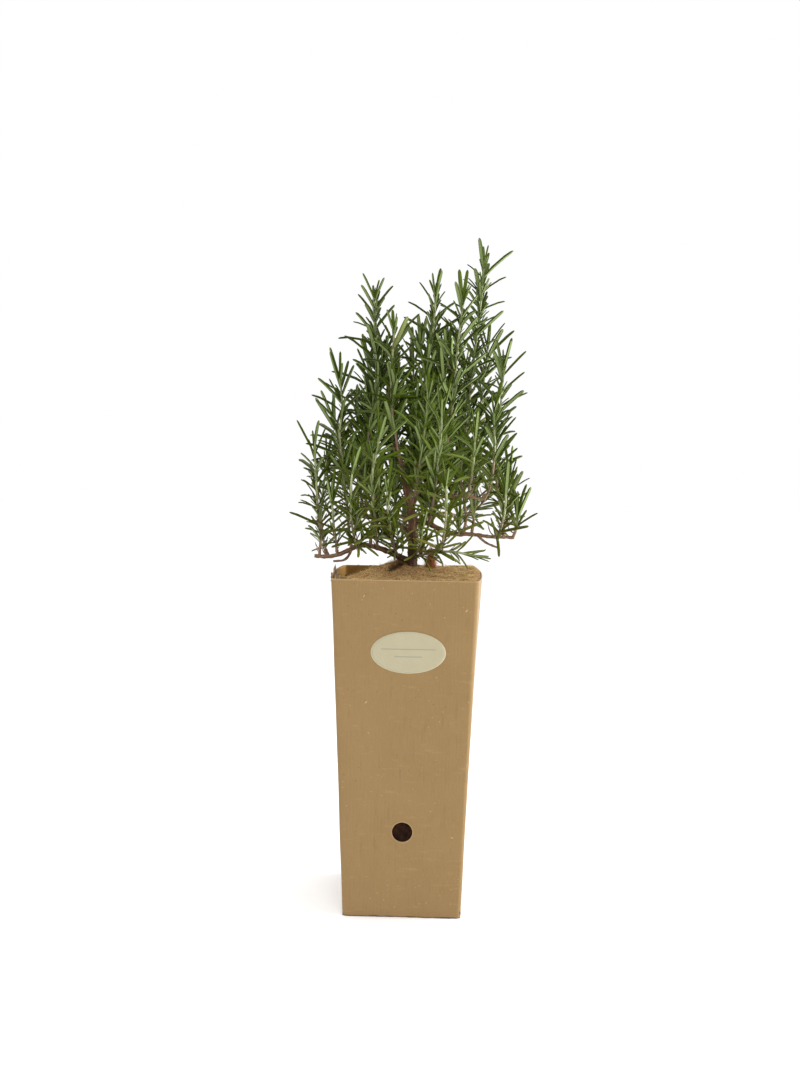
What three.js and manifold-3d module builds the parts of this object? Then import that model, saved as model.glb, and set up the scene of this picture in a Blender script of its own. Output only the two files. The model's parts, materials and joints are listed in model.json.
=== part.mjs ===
// A potted rosemary plant: a tall tapering pot of corrugated board, filled with compost,
// topped with a mat of coir fibre, and a woody rosemary with thirty-six leafy shoots.
//
// Millimetres, +Z up. The origin is the centre of the pot's underside; the front panel,
// with the label, faces -Y and +X is to the right of a viewer in front of it.
import * as THREE from 'three';
import { mergeVertices } from 'three/addons/utils/BufferGeometryUtils.js';
import Module from 'manifold-3d';

// ---------------------------------------------------------------- driving dimensions

const POT = {
  height: 333,
  topWidth: 140, // across the rim, outside
  bottomWidth: 116,
  board: 2, // thickness of one wall
  foldRadius: 4, // of the upright corner folds
  innerFoldRadius: 1,
  wallColumns: 4, // stretches across each side panel, so that it can bulge
  bulge: 5, // how far the filling pushes each side panel out at the rim
  levels: 2, // stretches that a wall is divided into
  flapLayers: 2, // the bottom flaps lie two boards thick
  flapSeamY: 21, // where the two outer flaps meet under the pot
  flapSeamWidth: 1,
};
const VENT = { diameter: 20, height: 86, sides: 16 };
const LABEL = { width: 72, height: 40.5, thickness: 0.4, x: 3.8, z: 263.4, sides: 24 };
const EAR = { left: -69.6, right: -64.2, tipX: -66.2, rise: 12, thickness: 1.6, inset: 0.2 };
const GAP = 0.3; // clearance between pieces that touch
const COMPOST = { top: 323.5 };
const MAT = {
  edgeTop: 331.5, // where the mat meets the board
  columns: 11,
  rows: 10,
  reach: 66.5, // half width under the rim
  levelEdge: 12, // the lumps fade out over this width at the board
  slit: { x: -9, y: 14 }, // how far the slit's edge comes in, and where it stops doing so
  mound: { rise: 6.5, spread: 38 }, // at the trunk
  // The slit's edge climbs from the front corner to the trunk and sinks again behind it.
  ridge: { rise: 8.5, width: 16, climbs: [-56, 4], sinks: [20, 56] },
  rearRise: { rise: 2.2, x: [5, 45], y: [-20, 50] }, // the right rear lies a little higher
  lumps: [0.8, 0.5],
  tuft: { radius: 4.5, height: 22, sides: 7, x: 28, y: 8, z: 345, lean: -0.12 },
};
const TRUNK = { x: 5, y: 0, sides: 9, bottom: 300, hole: 6.6 };

const NEEDLE = {
  length: 30,
  width: 2.9, // at the widest place; it narrows to points at both ends
  depth: 1.5, // flat upper side to keel
  widestAt: 0.38, // share of the length, where it also bends
  rootDepth: 0.8, // how far past the stem's axis the pointed root is sunk
  tipLength: 22,
  tipReach: 12, // a shoot's last needles reach on to its route's end from this far below it
  spacing: 5.8, // along a leafy stem
  firstAt: 2.5, // from the stem's foot
  unevenPlace: 0.5, // as a share of the spacing
  opening: [15, 50], // degrees away from the stem, at the shoot's tip and low down
  arch: [4, 34], // how much further the outer part bends out
  unevenTurn: 9,
  uneven: { length: [0.9, 1.06], opening: [0.82, 1.18], arch: [0.6, 1.3] },
  bunchLength: 45, // over this stretch below the tip the needles close up
  tuft: 4, // needles that end a shoot
  tuftSpacing: 2,
  youngWidth: 0.62, // width at the shoot's tip, as a share of the full width
  lowest: 346.5, // nothing reaches below this, so the rim and its ear stay clear
  clearRadius: [0.5, 0.28], // room kept at the root and at the tip, as shares of the width
};
const STEM = {
  sides: 4, // one for each row of needles
  step: 28,
  pointEvery: 6,
  rootRadius: 0.9, // where a twig starts inside its limb
  radius: 1.2,
  tipRadius: 0.8,
  twist: 1.3, // degrees for each millimetre, so that the rows wind round the stem
};
const BRANCH = { sides: 5, step: 18 };

// ---------------------------------------------------------------- the plant's routes

// Woody limbs: points from the foot outwards, and the radius at both ends.
const LIMBS = [
  // trunk
  { radii: [6.2, 2.1], sides: TRUNK.sides, route: [
    [5, 0, 300], [5, 0, 340], [4.5, 0, 370], [4, 0, 385], [2, 0, 400], [-2, -2, 415], [-5, -4, 430],
    [-9, -6, 450]] },
  // left arm, over the rim to its cut end
  { radii: [3, 1.6], route: [
    [4, 0, 344], [-12, -3, 351], [-21, -6, 355.5], [-38, -9, 360.5], [-47, -10, 361], [-61.5, -10, 354.5],
    [-70, -10, 351], [-79, -10, 349], [-93, -11, 349.5]] },
  // hooked twig under the left arm
  { radii: [1.3, 1], route: [[-55, -10, 358], [-60, -13, 348.5], [-64, -15, 346], [-73.5, -17, 345]] },
  // upper left arm
  { radii: [1.8, 1.2], route: [
    [4, 0, 387], [-12, 5, 390], [-24, 8, 389], [-38, 11, 387], [-47, 13, 388.5], [-53, 14, 392.5],
    [-57, 15, 401], [-58, 16, 410]] },
  // right arm
  { radii: [2.6, 1.3], route: [
    [4, 0, 386], [17, 2, 384], [33, 4, 377], [49.5, 3, 372.5], [58.5, 2, 373], [71, 1, 372], [85, 0, 370.5],
    [98.5, 0, 370.5], [106.5, -2, 370]] },
  // cut twig under the right arm
  { radii: [1.2, 0.9], route: [[69.5, 1, 372], [78.5, -6, 365], [90.5, -12, 360.5]] },
  // upper right arm, off the stem of the second right shoot
  { radii: [1.8, 1.3], route: [[29, -8, 410], [49.5, -14, 412], [62, -19, 411], [76, -24, 409]] },
  // rear arms
  { radii: [2.2, 1.5], route: [[4, 0, 370], [-6, 16, 378], [-16, 32, 384], [-26, 44, 386]] },
  { radii: [2.2, 1.5], route: [[4, 0, 376], [14, 18, 385], [26, 34, 390], [40, 46, 392]] },
];

// Leafy shoots: `bare` is the length of brown twig, fused to the frame, below the first
// leaves. A route starts on the axis of what it grows from. `side` is a second stem of
// the same shoot that forks off its main one.
const SHOOTS = [
  // left, from the left arm
  { bare: 9, route: [[-88, -11, 350], [-87, -11, 370], [-90, -13, 400], [-92, -14, 435], [-95, -14, 478]] },
  { bare: 12, route: [[-70, -10, 351], [-71, -20, 366], [-73, -27, 388], [-75, -30, 422]] },
  { bare: 24, route: [
    [-56, -10, 358], [-59, -6, 375], [-61, -3, 395], [-65, 0, 430], [-70, 2, 470], [-68, 4, 500],
    [-70, 5, 527], [-75, 6, 548]],
    side: [[-65, 0, 432], [-70, 10, 453], [-76, 18, 478], [-81, 22, 498]] },
  { bare: 12, route: [[-37, -9, 360.5], [-36, -16, 372], [-33, -20, 385], [-31, -22, 402]] },
  { bare: 14, route: [[-79, -10, 349], [-84, 6, 357], [-89, 22, 370], [-91, 34, 394], [-88, 40, 432],
    [-84, 42, 462]] },
  // left, from the upper left arm
  { bare: 14, route: [[-44, 12.5, 388], [-44, 20, 405], [-47, 25, 430], [-52, 29, 470], [-58, 32, 507]] },
  { bare: 16, route: [
    [-53, 14, 392.5], [-51, 9, 412], [-48, 6, 430], [-40, 5, 480], [-34, 4, 530], [-36, 5, 570],
    [-37, 5, 600], [-37, 4, 622]] },
  { bare: 6, route: [[-58, 15.6, 408], [-63, 24, 424], [-69, 33, 450], [-69, 40, 480]] },
  // front, over the rim
  { bare: 12, route: [[-8, -2, 349], [-12, -20, 358], [-16, -36, 378], [-19, -46, 405], [-19, -50, 432]] },
  { bare: 14, route: [
    [-30, -7.6, 358.6], [-30, -24, 366], [-31, -38, 388], [-33, -46, 412], [-33, -52, 437], [-28, -56, 460],
    [-26, -58, 482]] },
  { bare: 14, route: [[-47, -10, 361], [-49, -26, 362], [-51, -44, 372], [-53, -56, 392], [-53, -62, 420],
    [-50, -64, 450]] },
  { bare: 12, route: [[5, 0, 347], [14, -12, 352], [28, -20, 356], [46, -25, 357], [66, -28, 354],
    [80, -29, 354]],
    side: [[30, -20.5, 356.2], [34, -36, 364], [37, -50, 382], [38, -58, 406], [37, -62, 438]] },
  { bare: 8, route: [[5, 0, 350], [9, -12, 354], [13, -22, 363], [15, -29, 378], [15, -33, 396]] },
  // the crown's middle, off the trunk
  { bare: 18, route: [
    [-9, -6, 448], [-14, -8, 475], [-18, -10, 505], [-18, -11, 530], [-17, -11, 555], [-15, -12, 586]] },
  { bare: 16, route: [
    [0, -1, 408], [5, 8, 425], [5, 17, 450], [3, 23, 480], [3, 26, 520], [2, 27, 545], [0, 28, 567]] },
  { bare: 20, route: [
    [3, 0, 392], [8, 4, 410], [10, 5, 440], [12, 4, 480], [14, 3, 510], [18, 2, 545], [22, 0, 575],
    [24, 0, 605], [23, 0, 627]] },
  { bare: 16, route: [[2, 0, 400], [7, -14, 415], [11, -24, 440], [16, -31, 475], [20, -34, 520]] },
  { bare: 14, route: [
    [24, 3, 381], [24, 18, 400], [25, 30, 435], [28, 35, 475], [31, 37, 520], [35, 38, 574]] },
  { bare: 14, route: [[20, 2.5, 382.5], [23, -16, 393], [26, -31, 411], [29, -41, 440], [32, -46, 476],
    [32, -48, 503]] },
  // right, off the right arms
  { bare: 38, route: [
    [14, 1.5, 384.5], [22, -4, 396], [29, -8, 410], [34, -11, 440], [38, -13, 465], [42, -15, 495],
    [44.5, -16, 525], [47, -16, 560], [50, -17, 590], [52, -17, 620]] },
  { bare: 22, route: [
    [56, 2, 373], [58, 6, 390], [55, 9, 412], [52, 10, 430], [53, 11, 450], [57, 12, 480], [61, 12, 520],
    [63, 12, 545], [69, 12, 600], [73, 12, 658]] },
  { bare: 16, route: [
    [64, 1.6, 372.6], [66, 14, 385], [67, 23, 405], [68, 28, 430], [69, 29, 460], [72, 30, 505],
    [76, 31, 540], [79, 32, 577]] },
  { bare: 18, route: [
    [96, 0, 370.5], [95, 1, 395], [90, 2, 415], [86.5, 2, 443], [85, 2, 468], [90.5, 3, 500], [92, 3, 530],
    [94, 3, 562]] },
  { bare: 5, route: [[75, -23.6, 409], [80, -28, 420], [83, -31, 440], [84, -33, 460], [83, -35, 480],
    [82, -36, 507]] },
  { bare: 9, route: [[105, -2, 370], [108, -3.5, 379], [109, -6, 394], [107, -8, 406]] },
  { bare: 10, route: [[50, 3, 372.4], [51, -10, 376], [52, -20, 385], [51, -27, 402]] },
  { bare: 10, route: [[59, -18, 411.2], [60, -30, 418], [62, -42, 432], [64, -50, 455], [64, -54, 482]] },
  { bare: 12, route: [[85, 0, 370.5], [88, -16, 373], [92, -30, 383], [95, -40, 402], [94, -46, 432]] },
  { bare: 12, route: [[90, 0, 370.5], [95, 14, 375], [101, 26, 388], [104, 33, 413], [102, 36, 446]] },
  // rear, off the rear arms
  { bare: 8, route: [[-24, 42, 385.6], [-34, 50, 400], [-42, 55, 436], [-46, 57, 480], [-46, 56, 520],
    [-45, 54, 562]] },
  { bare: 10, route: [[-16, 32, 384], [-15, 42, 399], [-15, 50, 430], [-17, 56, 470], [-18, 60, 512],
    [-18, 62, 556]] },
  { bare: 10, route: [[-25, 43, 385.8], [-42, 58, 386], [-56, 66, 396], [-66, 70, 420], [-70, 70, 450]] },
  { bare: 10, route: [[-8, 19, 379.2], [-7, 38, 375], [-5, 56, 380], [-4, 68, 398], [-4, 73, 434]] },
  { bare: 8, route: [[38, 44.6, 391.8], [47, 52, 408], [53, 57, 440], [56, 60, 480], [57, 60, 520],
    [56, 58, 560]] },
  { bare: 12, route: [[18, 23, 387.2], [17, 36, 401], [16, 46, 430], [18, 54, 470], [20, 58, 520],
    [22, 58, 576]] },
  { bare: 8, route: [[39, 45.4, 391.9], [56, 60, 388], [72, 66, 396], [84, 68, 418], [88, 66, 450],
    [88, 60, 486]] },
];

const COLOURS = {
  board: 0xa3875c,
  label: 0xc4bd98,
  compost: 0x3a2a1c,
  coir: 0xa8885c,
  bark: 0x5a4330,
  leaf: 0x4b6932,
};

// ---------------------------------------------------------------- solids and numbers

const wasm = await Module();
wasm.setup();

function toSolid(geometry) {
  const plain = geometry.clone();
  plain.deleteAttribute('normal');
  plain.deleteAttribute('uv');
  const merged = mergeVertices(plain, 1e-4);
  return new wasm.Manifold(new wasm.Mesh({
    numProp: 3,
    vertProperties: new Float32Array(merged.attributes.position.array),
    triVerts: new Uint32Array(merged.index.array),
  }));
}

function toGeometry(solid) {
  const mesh = solid.getMesh();
  const geometry = new THREE.BufferGeometry();
  geometry.setAttribute('position', new THREE.BufferAttribute(mesh.vertProperties, 3));
  geometry.setIndex(new THREE.BufferAttribute(mesh.triVerts, 1));
  geometry.computeVertexNormals();
  return geometry;
}

function join(solids) {
  return solids.reduce((whole, piece) => whole.add(piece));
}

// Moves every vertex of a geometry to move(point), which changes the point in place.
function shape(geometry, move) {
  const positions = geometry.attributes.position;
  const point = new THREE.Vector3();
  for (let i = 0; i < positions.count; i += 1) {
    point.fromBufferAttribute(positions, i);
    move(point);
    positions.setXYZ(i, point.x, point.y, point.z);
  }
  return geometry;
}

// A repeatable random draw from 0 to 1.
function seededRandom(seed) {
  let state = seed;
  return () => {
    state = (state + 0x6d2b79f5) | 0;
    let mixed = Math.imul(state ^ (state >>> 15), 1 | state);
    mixed = (mixed + Math.imul(mixed ^ (mixed >>> 7), 61 | mixed)) ^ mixed;
    return ((mixed ^ (mixed >>> 14)) >>> 0) / 4294967296;
  };
}

const { lerp, clamp, smoothstep, degToRad } = THREE.MathUtils;

// ---------------------------------------------------------------- pot, label and filling

function roundedSquare(half, radius) {
  const square = new THREE.Shape();
  const inner = half - radius;
  square.moveTo(half, -inner);
  const columns = POT.wallColumns;
  for (let i = 1; i <= columns; i += 1) square.lineTo(half, lerp(-inner, inner, i / columns));
  square.absarc(inner, inner, radius, 0, Math.PI / 2);
  square.lineTo(-inner, half);
  square.absarc(-inner, inner, radius, Math.PI / 2, Math.PI);
  for (let i = 1; i <= columns; i += 1) square.lineTo(-half, lerp(inner, -inner, i / columns));
  square.absarc(-inner, -inner, radius, Math.PI, Math.PI * 1.5);
  square.lineTo(inner, -half);
  square.absarc(inner, -inner, radius, Math.PI * 1.5, Math.PI * 2);
  return square;
}

const halfWidthAt = (z) => lerp(POT.bottomWidth, POT.topWidth, z / POT.height) / 2;
const bulgeAt = (z) => POT.bulge * clamp(z / POT.height, 0, 1) ** 1.5;

// The pot's form set in by `inset` from its outer face, from one height to another.
function potForm(inset, bottom, top) {
  const half = POT.topWidth / 2 - inset;
  const radius = Math.max(POT.foldRadius - inset, POT.innerFoldRadius);
  const form = new THREE.ExtrudeGeometry(roundedSquare(half, radius), {
    depth: top - bottom,
    steps: POT.levels,
    bevelEnabled: false,
    curveSegments: 2,
  });
  return shape(form, (point) => {
    point.z += bottom;
    const width = halfWidthAt(point.z) - inset;
    point.x *= width / half;
    point.y *= width / half;
    const middle = 1 - (point.y / width) ** 2;
    point.x *= 1 + (bulgeAt(point.z) * middle) / width;
  });
}

function prism(outline, depth, curveSegments = 12) {
  return new THREE.ExtrudeGeometry(outline, { depth, bevelEnabled: false, curveSegments });
}

function ventPin() {
  const outline = new THREE.Shape();
  outline.absarc(0, 0, VENT.diameter / 2, 0, Math.PI * 2);
  const pin = prism(outline, POT.topWidth * 2, VENT.sides / 2);
  pin.translate(0, 0, -POT.topWidth);
  return pin.rotateX(Math.PI / 2).translate(0, 0, VENT.height);
}

function cardboardPot() {
  const floor = POT.board * POT.flapLayers;
  let pot = toSolid(potForm(0, 0, POT.height));
  pot = pot.subtract(toSolid(potForm(POT.board, floor, POT.height + POT.board)));
  pot = pot.subtract(toSolid(ventPin()));
  pot = pot.subtract(toSolid(ventPin().rotateZ(Math.PI / 2)));
  const seam = new THREE.BoxGeometry(POT.topWidth * 2, POT.flapSeamWidth, POT.board * 2);
  pot = pot.subtract(toSolid(seam.translate(0, POT.flapSeamY, 0)));

  const ear = new THREE.Shape();
  ear.moveTo(EAR.left, -POT.board);
  ear.lineTo(EAR.right, -POT.board);
  ear.lineTo(EAR.right, 0);
  ear.lineTo(EAR.tipX, EAR.rise);
  ear.lineTo(EAR.left, 0);
  const torn = prism(ear, EAR.thickness).rotateX(Math.PI / 2);
  torn.translate(0, -POT.topWidth / 2 + EAR.thickness + EAR.inset, POT.height);
  return pot.add(toSolid(torn));
}

function ovalLabel() {
  const oval = new THREE.Shape();
  oval.absellipse(0, 0, LABEL.width / 2, LABEL.height / 2, 0, Math.PI * 2);
  const lean = Math.atan2((POT.topWidth - POT.bottomWidth) / 2, POT.height);
  const label = prism(oval, LABEL.thickness, LABEL.sides / 2);
  label.rotateX(Math.PI / 2 + lean);
  return label.translate(LABEL.x, -halfWidthAt(LABEL.z) - GAP, LABEL.z);
}

function trunkHole(radius) {
  const outline = new THREE.Shape();
  outline.absarc(TRUNK.x, TRUNK.y, radius, 0, Math.PI * 2);
  return toSolid(prism(outline, POT.height, 8).translate(0, 0, TRUNK.bottom - GAP));
}

function compost() {
  const inset = POT.board + GAP;
  const floor = POT.board * POT.flapLayers + GAP;
  return toSolid(potForm(inset, floor, COMPOST.top)).subtract(trunkHole(TRUNK.hole));
}

// The mat's slit edge: it starts at the front left corner, runs back past the trunk's
// left, and turns to the rear wall behind the trunk.
function slitEdge(y) {
  return lerp(-MAT.reach, MAT.slit.x, smoothstep(y, -MAT.reach, MAT.slit.y));
}

const bell = (distance, width) => Math.exp(-((distance / width) ** 2));

function matTop(x, y) {
  const { mound, ridge, rearRise, lumps } = MAT;
  const atTrunk = mound.rise * bell(Math.hypot(x - TRUNK.x, y - TRUNK.y), mound.spread);
  const alongSlit = smoothstep(y, ...ridge.climbs) - smoothstep(y, ...ridge.sinks);
  const atSlit = ridge.rise * alongSlit * bell(x - slitEdge(y), ridge.width);
  const atRear = rearRise.rise * smoothstep(x, ...rearRise.x) * smoothstep(y, ...rearRise.y);
  const lump = lumps[0] * Math.sin(x * 0.21 + 1) * Math.cos(y * 0.17)
    + lumps[1] * Math.sin(x * 0.47 - y * 0.39);
  const inside = clamp((MAT.reach - Math.max(Math.abs(x), Math.abs(y))) / MAT.levelEdge, 0, 1);
  return MAT.edgeTop + atTrunk + atSlit + atRear + lump * inside;
}

function coirMat() {
  const bottom = COMPOST.top + GAP;
  const sheet = new THREE.BoxGeometry(2, 2, 1, MAT.columns, MAT.rows, 1);
  shape(sheet, (point) => {
    const y = point.y * MAT.reach;
    const right = MAT.reach + bulgeAt(POT.height) * (1 - point.y ** 2) * 0.9;
    const x = lerp(slitEdge(y), right, (point.x + 1) / 2);
    point.set(x, y, point.z > 0 ? matTop(x, y) : bottom);
  });
  const { radius, height, sides, x, y, z, lean } = MAT.tuft;
  const tuft = new THREE.ConeGeometry(radius, height, sides, 1).rotateX(Math.PI / 2).rotateY(lean);
  tuft.translate(x, y, z);
  return join([toSolid(sheet), toSolid(tuft)]).subtract(trunkHole(TRUNK.hole));
}

// ---------------------------------------------------------------- limbs and stems

const toCurve = (route) => new THREE.CatmullRomCurve3(
  route.map(([x, y, z]) => new THREE.Vector3(x, y, z)), false, 'centripetal');

// The stretch of a curve between two lengths along it, as a curve of its own.
function stretchOf(curve, from, to) {
  const length = curve.getLength();
  const count = Math.max(2, Math.ceil((to - from) / STEM.pointEvery));
  const points = [];
  for (let i = 0; i <= count; i += 1) points.push(curve.getPointAt(lerp(from, to, i / count) / length));
  return new THREE.CatmullRomCurve3(points, false, 'centripetal');
}

// A tapering tube along a curve: an extruded polygon whose rings are then widened.
function tube(curve, startRadius, endRadius, sides, step, twist = 0) {
  const thin = 0.05;
  const outline = new THREE.Shape();
  for (let i = 0; i < sides; i += 1) {
    const angle = ((i + 0.5) / sides) * Math.PI * 2;
    const corner = [thin * Math.cos(angle), thin * Math.sin(angle)];
    if (i === 0) outline.moveTo(...corner);
    else outline.lineTo(...corner);
  }
  const length = curve.getLength();
  const steps = Math.ceil(length / step);
  const rod = new THREE.ExtrudeGeometry(outline, { steps, extrudePath: curve, bevelEnabled: false });
  const centres = curve.getSpacedPoints(steps);
  const { tangents } = curve.computeFrenetFrames(steps, false);
  return shape(rod, (point) => {
    let ring = 0;
    for (let i = 1; i <= steps; i += 1) {
      if (point.distanceToSquared(centres[i]) < point.distanceToSquared(centres[ring])) ring = i;
    }
    const radius = lerp(startRadius, endRadius, ring / steps);
    const turned = degToRad((twist * length * ring) / steps);
    point.sub(centres[ring]).multiplyScalar(radius / thin).applyAxisAngle(tangents[ring], turned);
    point.add(centres[ring]);
  });
}

// ---------------------------------------------------------------- keeping needles clear

// Everything that is already placed, as straight pieces with a radius at both ends.
const placed = [];

function addPieces(owner, points, radii) {
  for (let i = 1; i < points.length; i += 1) {
    placed.push({ owner, a: points[i - 1], b: points[i], radius: Math.max(radii[i - 1], radii[i]) });
  }
}

function addTube(owner, curve, startRadius, endRadius, step) {
  const count = Math.max(2, Math.ceil(curve.getLength() / step));
  const points = curve.getSpacedPoints(count);
  addPieces(owner, points, points.map((_, i) => lerp(startRadius, endRadius, i / count)));
}

// The shortest distance between the straight pieces a-b and c-d.
function distanceBetween(a, b, c, d) {
  const ab = b.clone().sub(a);
  const cd = d.clone().sub(c);
  const ca = a.clone().sub(c);
  const abab = ab.dot(ab);
  const cdcd = cd.dot(cd);
  const abcd = ab.dot(cd);
  const abca = ab.dot(ca);
  const cdca = cd.dot(ca);
  const spread = abab * cdcd - abcd * abcd;
  let s = spread > 1e-9 ? clamp((abcd * cdca - abca * cdcd) / spread, 0, 1) : 0;
  let t = (abcd * s + cdca) / cdcd;
  if (t < 0 || t > 1) {
    t = clamp(t, 0, 1);
    s = clamp((abcd * t - abca) / abab, 0, 1);
  }
  return ca.addScaledVector(ab, s).addScaledVector(cd, -t).length();
}

function isClear(owner, points, radii) {
  for (let i = 1; i < points.length; i += 1) {
    if (points[i].z < NEEDLE.lowest) return false;
    const radius = Math.max(radii[i - 1], radii[i]);
    const middle = points[i - 1].clone().lerp(points[i], 0.5);
    const reach = points[i - 1].distanceTo(points[i]) / 2;
    for (const piece of placed) {
      if (piece.owner === owner) continue;
      const room = radius + piece.radius + GAP;
      const far = reach + room + piece.a.distanceTo(piece.b);
      if (middle.distanceTo(piece.a) > far) continue;
      if (distanceBetween(points[i - 1], points[i], piece.a, piece.b) < room) return false;
    }
  }
  return true;
}

// ---------------------------------------------------------------- needles

// Where a needle runs: its root on the stem's axis, its middle and its tip, with the
// directions that its width and its upper side face.
function needleLine(root, along, outward, opening, arch, length) {
  const across = along.clone().cross(outward);
  const aim = (angle) => along.clone().multiplyScalar(Math.cos(angle))
    .addScaledVector(outward, Math.sin(angle));
  const middle = root.clone().addScaledVector(aim(opening), length * NEEDLE.widestAt);
  const tip = middle.clone().addScaledVector(aim(opening + arch), length * (1 - NEEDLE.widestAt));
  const bend = opening + arch / 2;
  const upper = along.clone().multiplyScalar(Math.sin(bend)).addScaledVector(outward, -Math.cos(bend));
  const sunk = root.clone().addScaledVector(outward, -NEEDLE.rootDepth * Math.sin(opening));
  return { points: [sunk, middle, tip], across, upper };
}

// A three-sided needle with a pointed root and tip: flat above, keeled below.
function needleSolid({ points, across, upper }, breadth) {
  const needle = new THREE.SphereGeometry(1, 3, 2, Math.PI / 2);
  const halfWidth = NEEDLE.width / 2 / Math.sin(Math.PI / 3);
  const keelDepth = NEEDLE.depth / (1 + Math.cos(Math.PI / 3));
  shape(needle, (point) => {
    const ring = Math.round(point.y + 1); // 0 at the root, 1 where it is widest, 2 at the tip
    const sideways = point.x * breadth * halfWidth;
    const downward = point.z * breadth * keelDepth;
    point.copy(points[ring]).addScaledVector(across, sideways).addScaledVector(upper, -downward);
  });
  return toSolid(needle);
}

const [rootRoom, tipRoom] = NEEDLE.clearRadius.map((share) => share * NEEDLE.width);
const needleRadii = [rootRoom, rootRoom, tipRoom];
const turnsToTry = [0, 15, -15, 30, -30, 45, -45];
const closingToTry = [1, 0.8, 0.6, 1.15];

// The first placing of a needle near the wanted one that is clear of all other pieces.
function placeNeedle(owner, stem, length, wanted) {
  const { root, along, normal, binormal } = stem;
  for (const closing of closingToTry) {
    for (const turn of turnsToTry) {
      const azimuth = degToRad(wanted.azimuth + turn);
      const outward = normal.clone().multiplyScalar(Math.cos(azimuth))
        .addScaledVector(binormal, Math.sin(azimuth));
      const opening = degToRad(wanted.opening * closing);
      const line = needleLine(root, along, outward, opening, degToRad(wanted.arch), length);
      if (isClear(owner, line.points, needleRadii)) {
        addPieces(owner, line.points, needleRadii);
        return needleSolid(line, wanted.breadth);
      }
    }
  }
  return null;
}

// A point on the axis of a tube that is straight from ring to ring.
function onAxis(rings, share) {
  const place = share * (rings.length - 1);
  const ring = Math.min(Math.floor(place), rings.length - 2);
  return rings[ring].clone().lerp(rings[ring + 1], place - ring);
}

function leavesOn(owner, curve, random) {
  const between = ([low, high]) => lerp(low, high, random());
  const length = curve.getLength();
  const rings = curve.getSpacedPoints(Math.ceil(length / STEM.step));
  const tuftLength = NEEDLE.tuft * NEEDLE.tuftSpacing;
  const count = Math.max(0, Math.floor((length - NEEDLE.firstAt - tuftLength) / NEEDLE.spacing));
  const total = count + NEEDLE.tuft;
  const frames = curve.computeFrenetFrames(Math.ceil(length), false);
  const needles = [];
  for (let i = 0; i < total; i += 1) {
    const at = i < count
      ? NEEDLE.firstAt + (i + random() * NEEDLE.unevenPlace) * NEEDLE.spacing
      : length - (total - i) * NEEDLE.tuftSpacing;
    const frame = Math.min(Math.round(at), frames.tangents.length - 1);
    const stem = {
      root: onAxis(rings, at / length),
      along: frames.tangents[frame],
      normal: frames.normals[frame],
      binormal: frames.binormals[frame],
    };
    // Opposite pairs, each a quarter turn from the last.
    const pair = Math.floor(i / 2) * 90 + (i % 2) * 180;
    const low = smoothstep(length - at, 0, NEEDLE.bunchLength);
    const needleLength = lerp(NEEDLE.tipLength, NEEDLE.length, low) * between(NEEDLE.uneven.length);
    const needle = placeNeedle(owner, stem, needleLength, {
      azimuth: pair + STEM.twist * at + between([-NEEDLE.unevenTurn, NEEDLE.unevenTurn]),
      opening: lerp(...NEEDLE.opening, low) * between(NEEDLE.uneven.opening),
      arch: lerp(...NEEDLE.arch, low) * between(NEEDLE.uneven.arch),
      breadth: lerp(NEEDLE.youngWidth, 1, low),
    });
    if (needle) needles.push(needle);
  }
  return needles;
}

// ---------------------------------------------------------------- the plant

const FRAME_OWNER = 'frame';

// The leafy stretches of a shoot, which end where its last needles start.
function leafyStems({ bare, route, side }) {
  const main = toCurve(route);
  const stems = [stretchOf(main, bare + GAP, main.getLength() - NEEDLE.tipReach)];
  if (side) {
    const fork = toCurve(side);
    stems.push(stretchOf(fork, 0, fork.getLength() - NEEDLE.tipReach));
  }
  return stems;
}

function woodyFrame() {
  const pieces = LIMBS.map(({ radii, route, sides = BRANCH.sides }) => {
    const curve = toCurve(route);
    addTube(FRAME_OWNER, curve, radii[0], radii[1], BRANCH.step / 2);
    return toSolid(tube(curve, radii[0], radii[1], sides, BRANCH.step));
  });
  for (const { bare, route } of SHOOTS) {
    const twig = stretchOf(toCurve(route), 0, bare);
    addTube(FRAME_OWNER, twig, STEM.radius, STEM.radius, BRANCH.step / 2);
    pieces.push(toSolid(tube(twig, STEM.rootRadius, STEM.radius, STEM.sides, STEM.step)));
  }
  return join(pieces);
}

function leafyShoots() {
  const stems = SHOOTS.map(leafyStems);
  stems.forEach((curves, index) => curves.forEach((curve, fork) => {
    addTube(`${index} ${fork}`, curve, STEM.radius, STEM.tipRadius, STEM.step / 2);
  }));
  return stems.map((curves, index) => {
    const random = seededRandom(index * 7919 + 11);
    return join(curves.flatMap((curve, fork) => [
      toSolid(tube(curve, STEM.radius, STEM.tipRadius, STEM.sides, STEM.step, STEM.twist)),
      ...leavesOn(`${index} ${fork}`, curve, random),
    ]));
  });
}

// ---------------------------------------------------------------- the scene graph

const plant = new THREE.Group();

function addPart(name, geometry, color, roughness) {
  const material = new THREE.MeshStandardMaterial({ color, roughness, metalness: 0 });
  const mesh = new THREE.Mesh(geometry, material);
  mesh.name = name;
  plant.add(mesh);
}

addPart('cardboard_pot', toGeometry(cardboardPot()), COLOURS.board, 0.85);
addPart('oval_label', toGeometry(toSolid(ovalLabel())), COLOURS.label, 0.7);
addPart('compost', toGeometry(compost()), COLOURS.compost, 0.95);
addPart('coir_mat', toGeometry(coirMat()), COLOURS.coir, 0.95);
addPart('trunk_and_branches', toGeometry(woodyFrame()), COLOURS.bark, 0.85);
leafyShoots().forEach((shoot, index) => {
  addPart(`leafy_shoot_${String(index + 1).padStart(2, '0')}`, toGeometry(shoot), COLOURS.leaf, 0.55);
});

export default plant;
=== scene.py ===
"""A potted rosemary: board pot, label, compost, coir mat, woody frame and leafy shoots.

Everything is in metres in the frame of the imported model, whose nodes the pieces replace.
"""

import json
import math
import random

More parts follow.
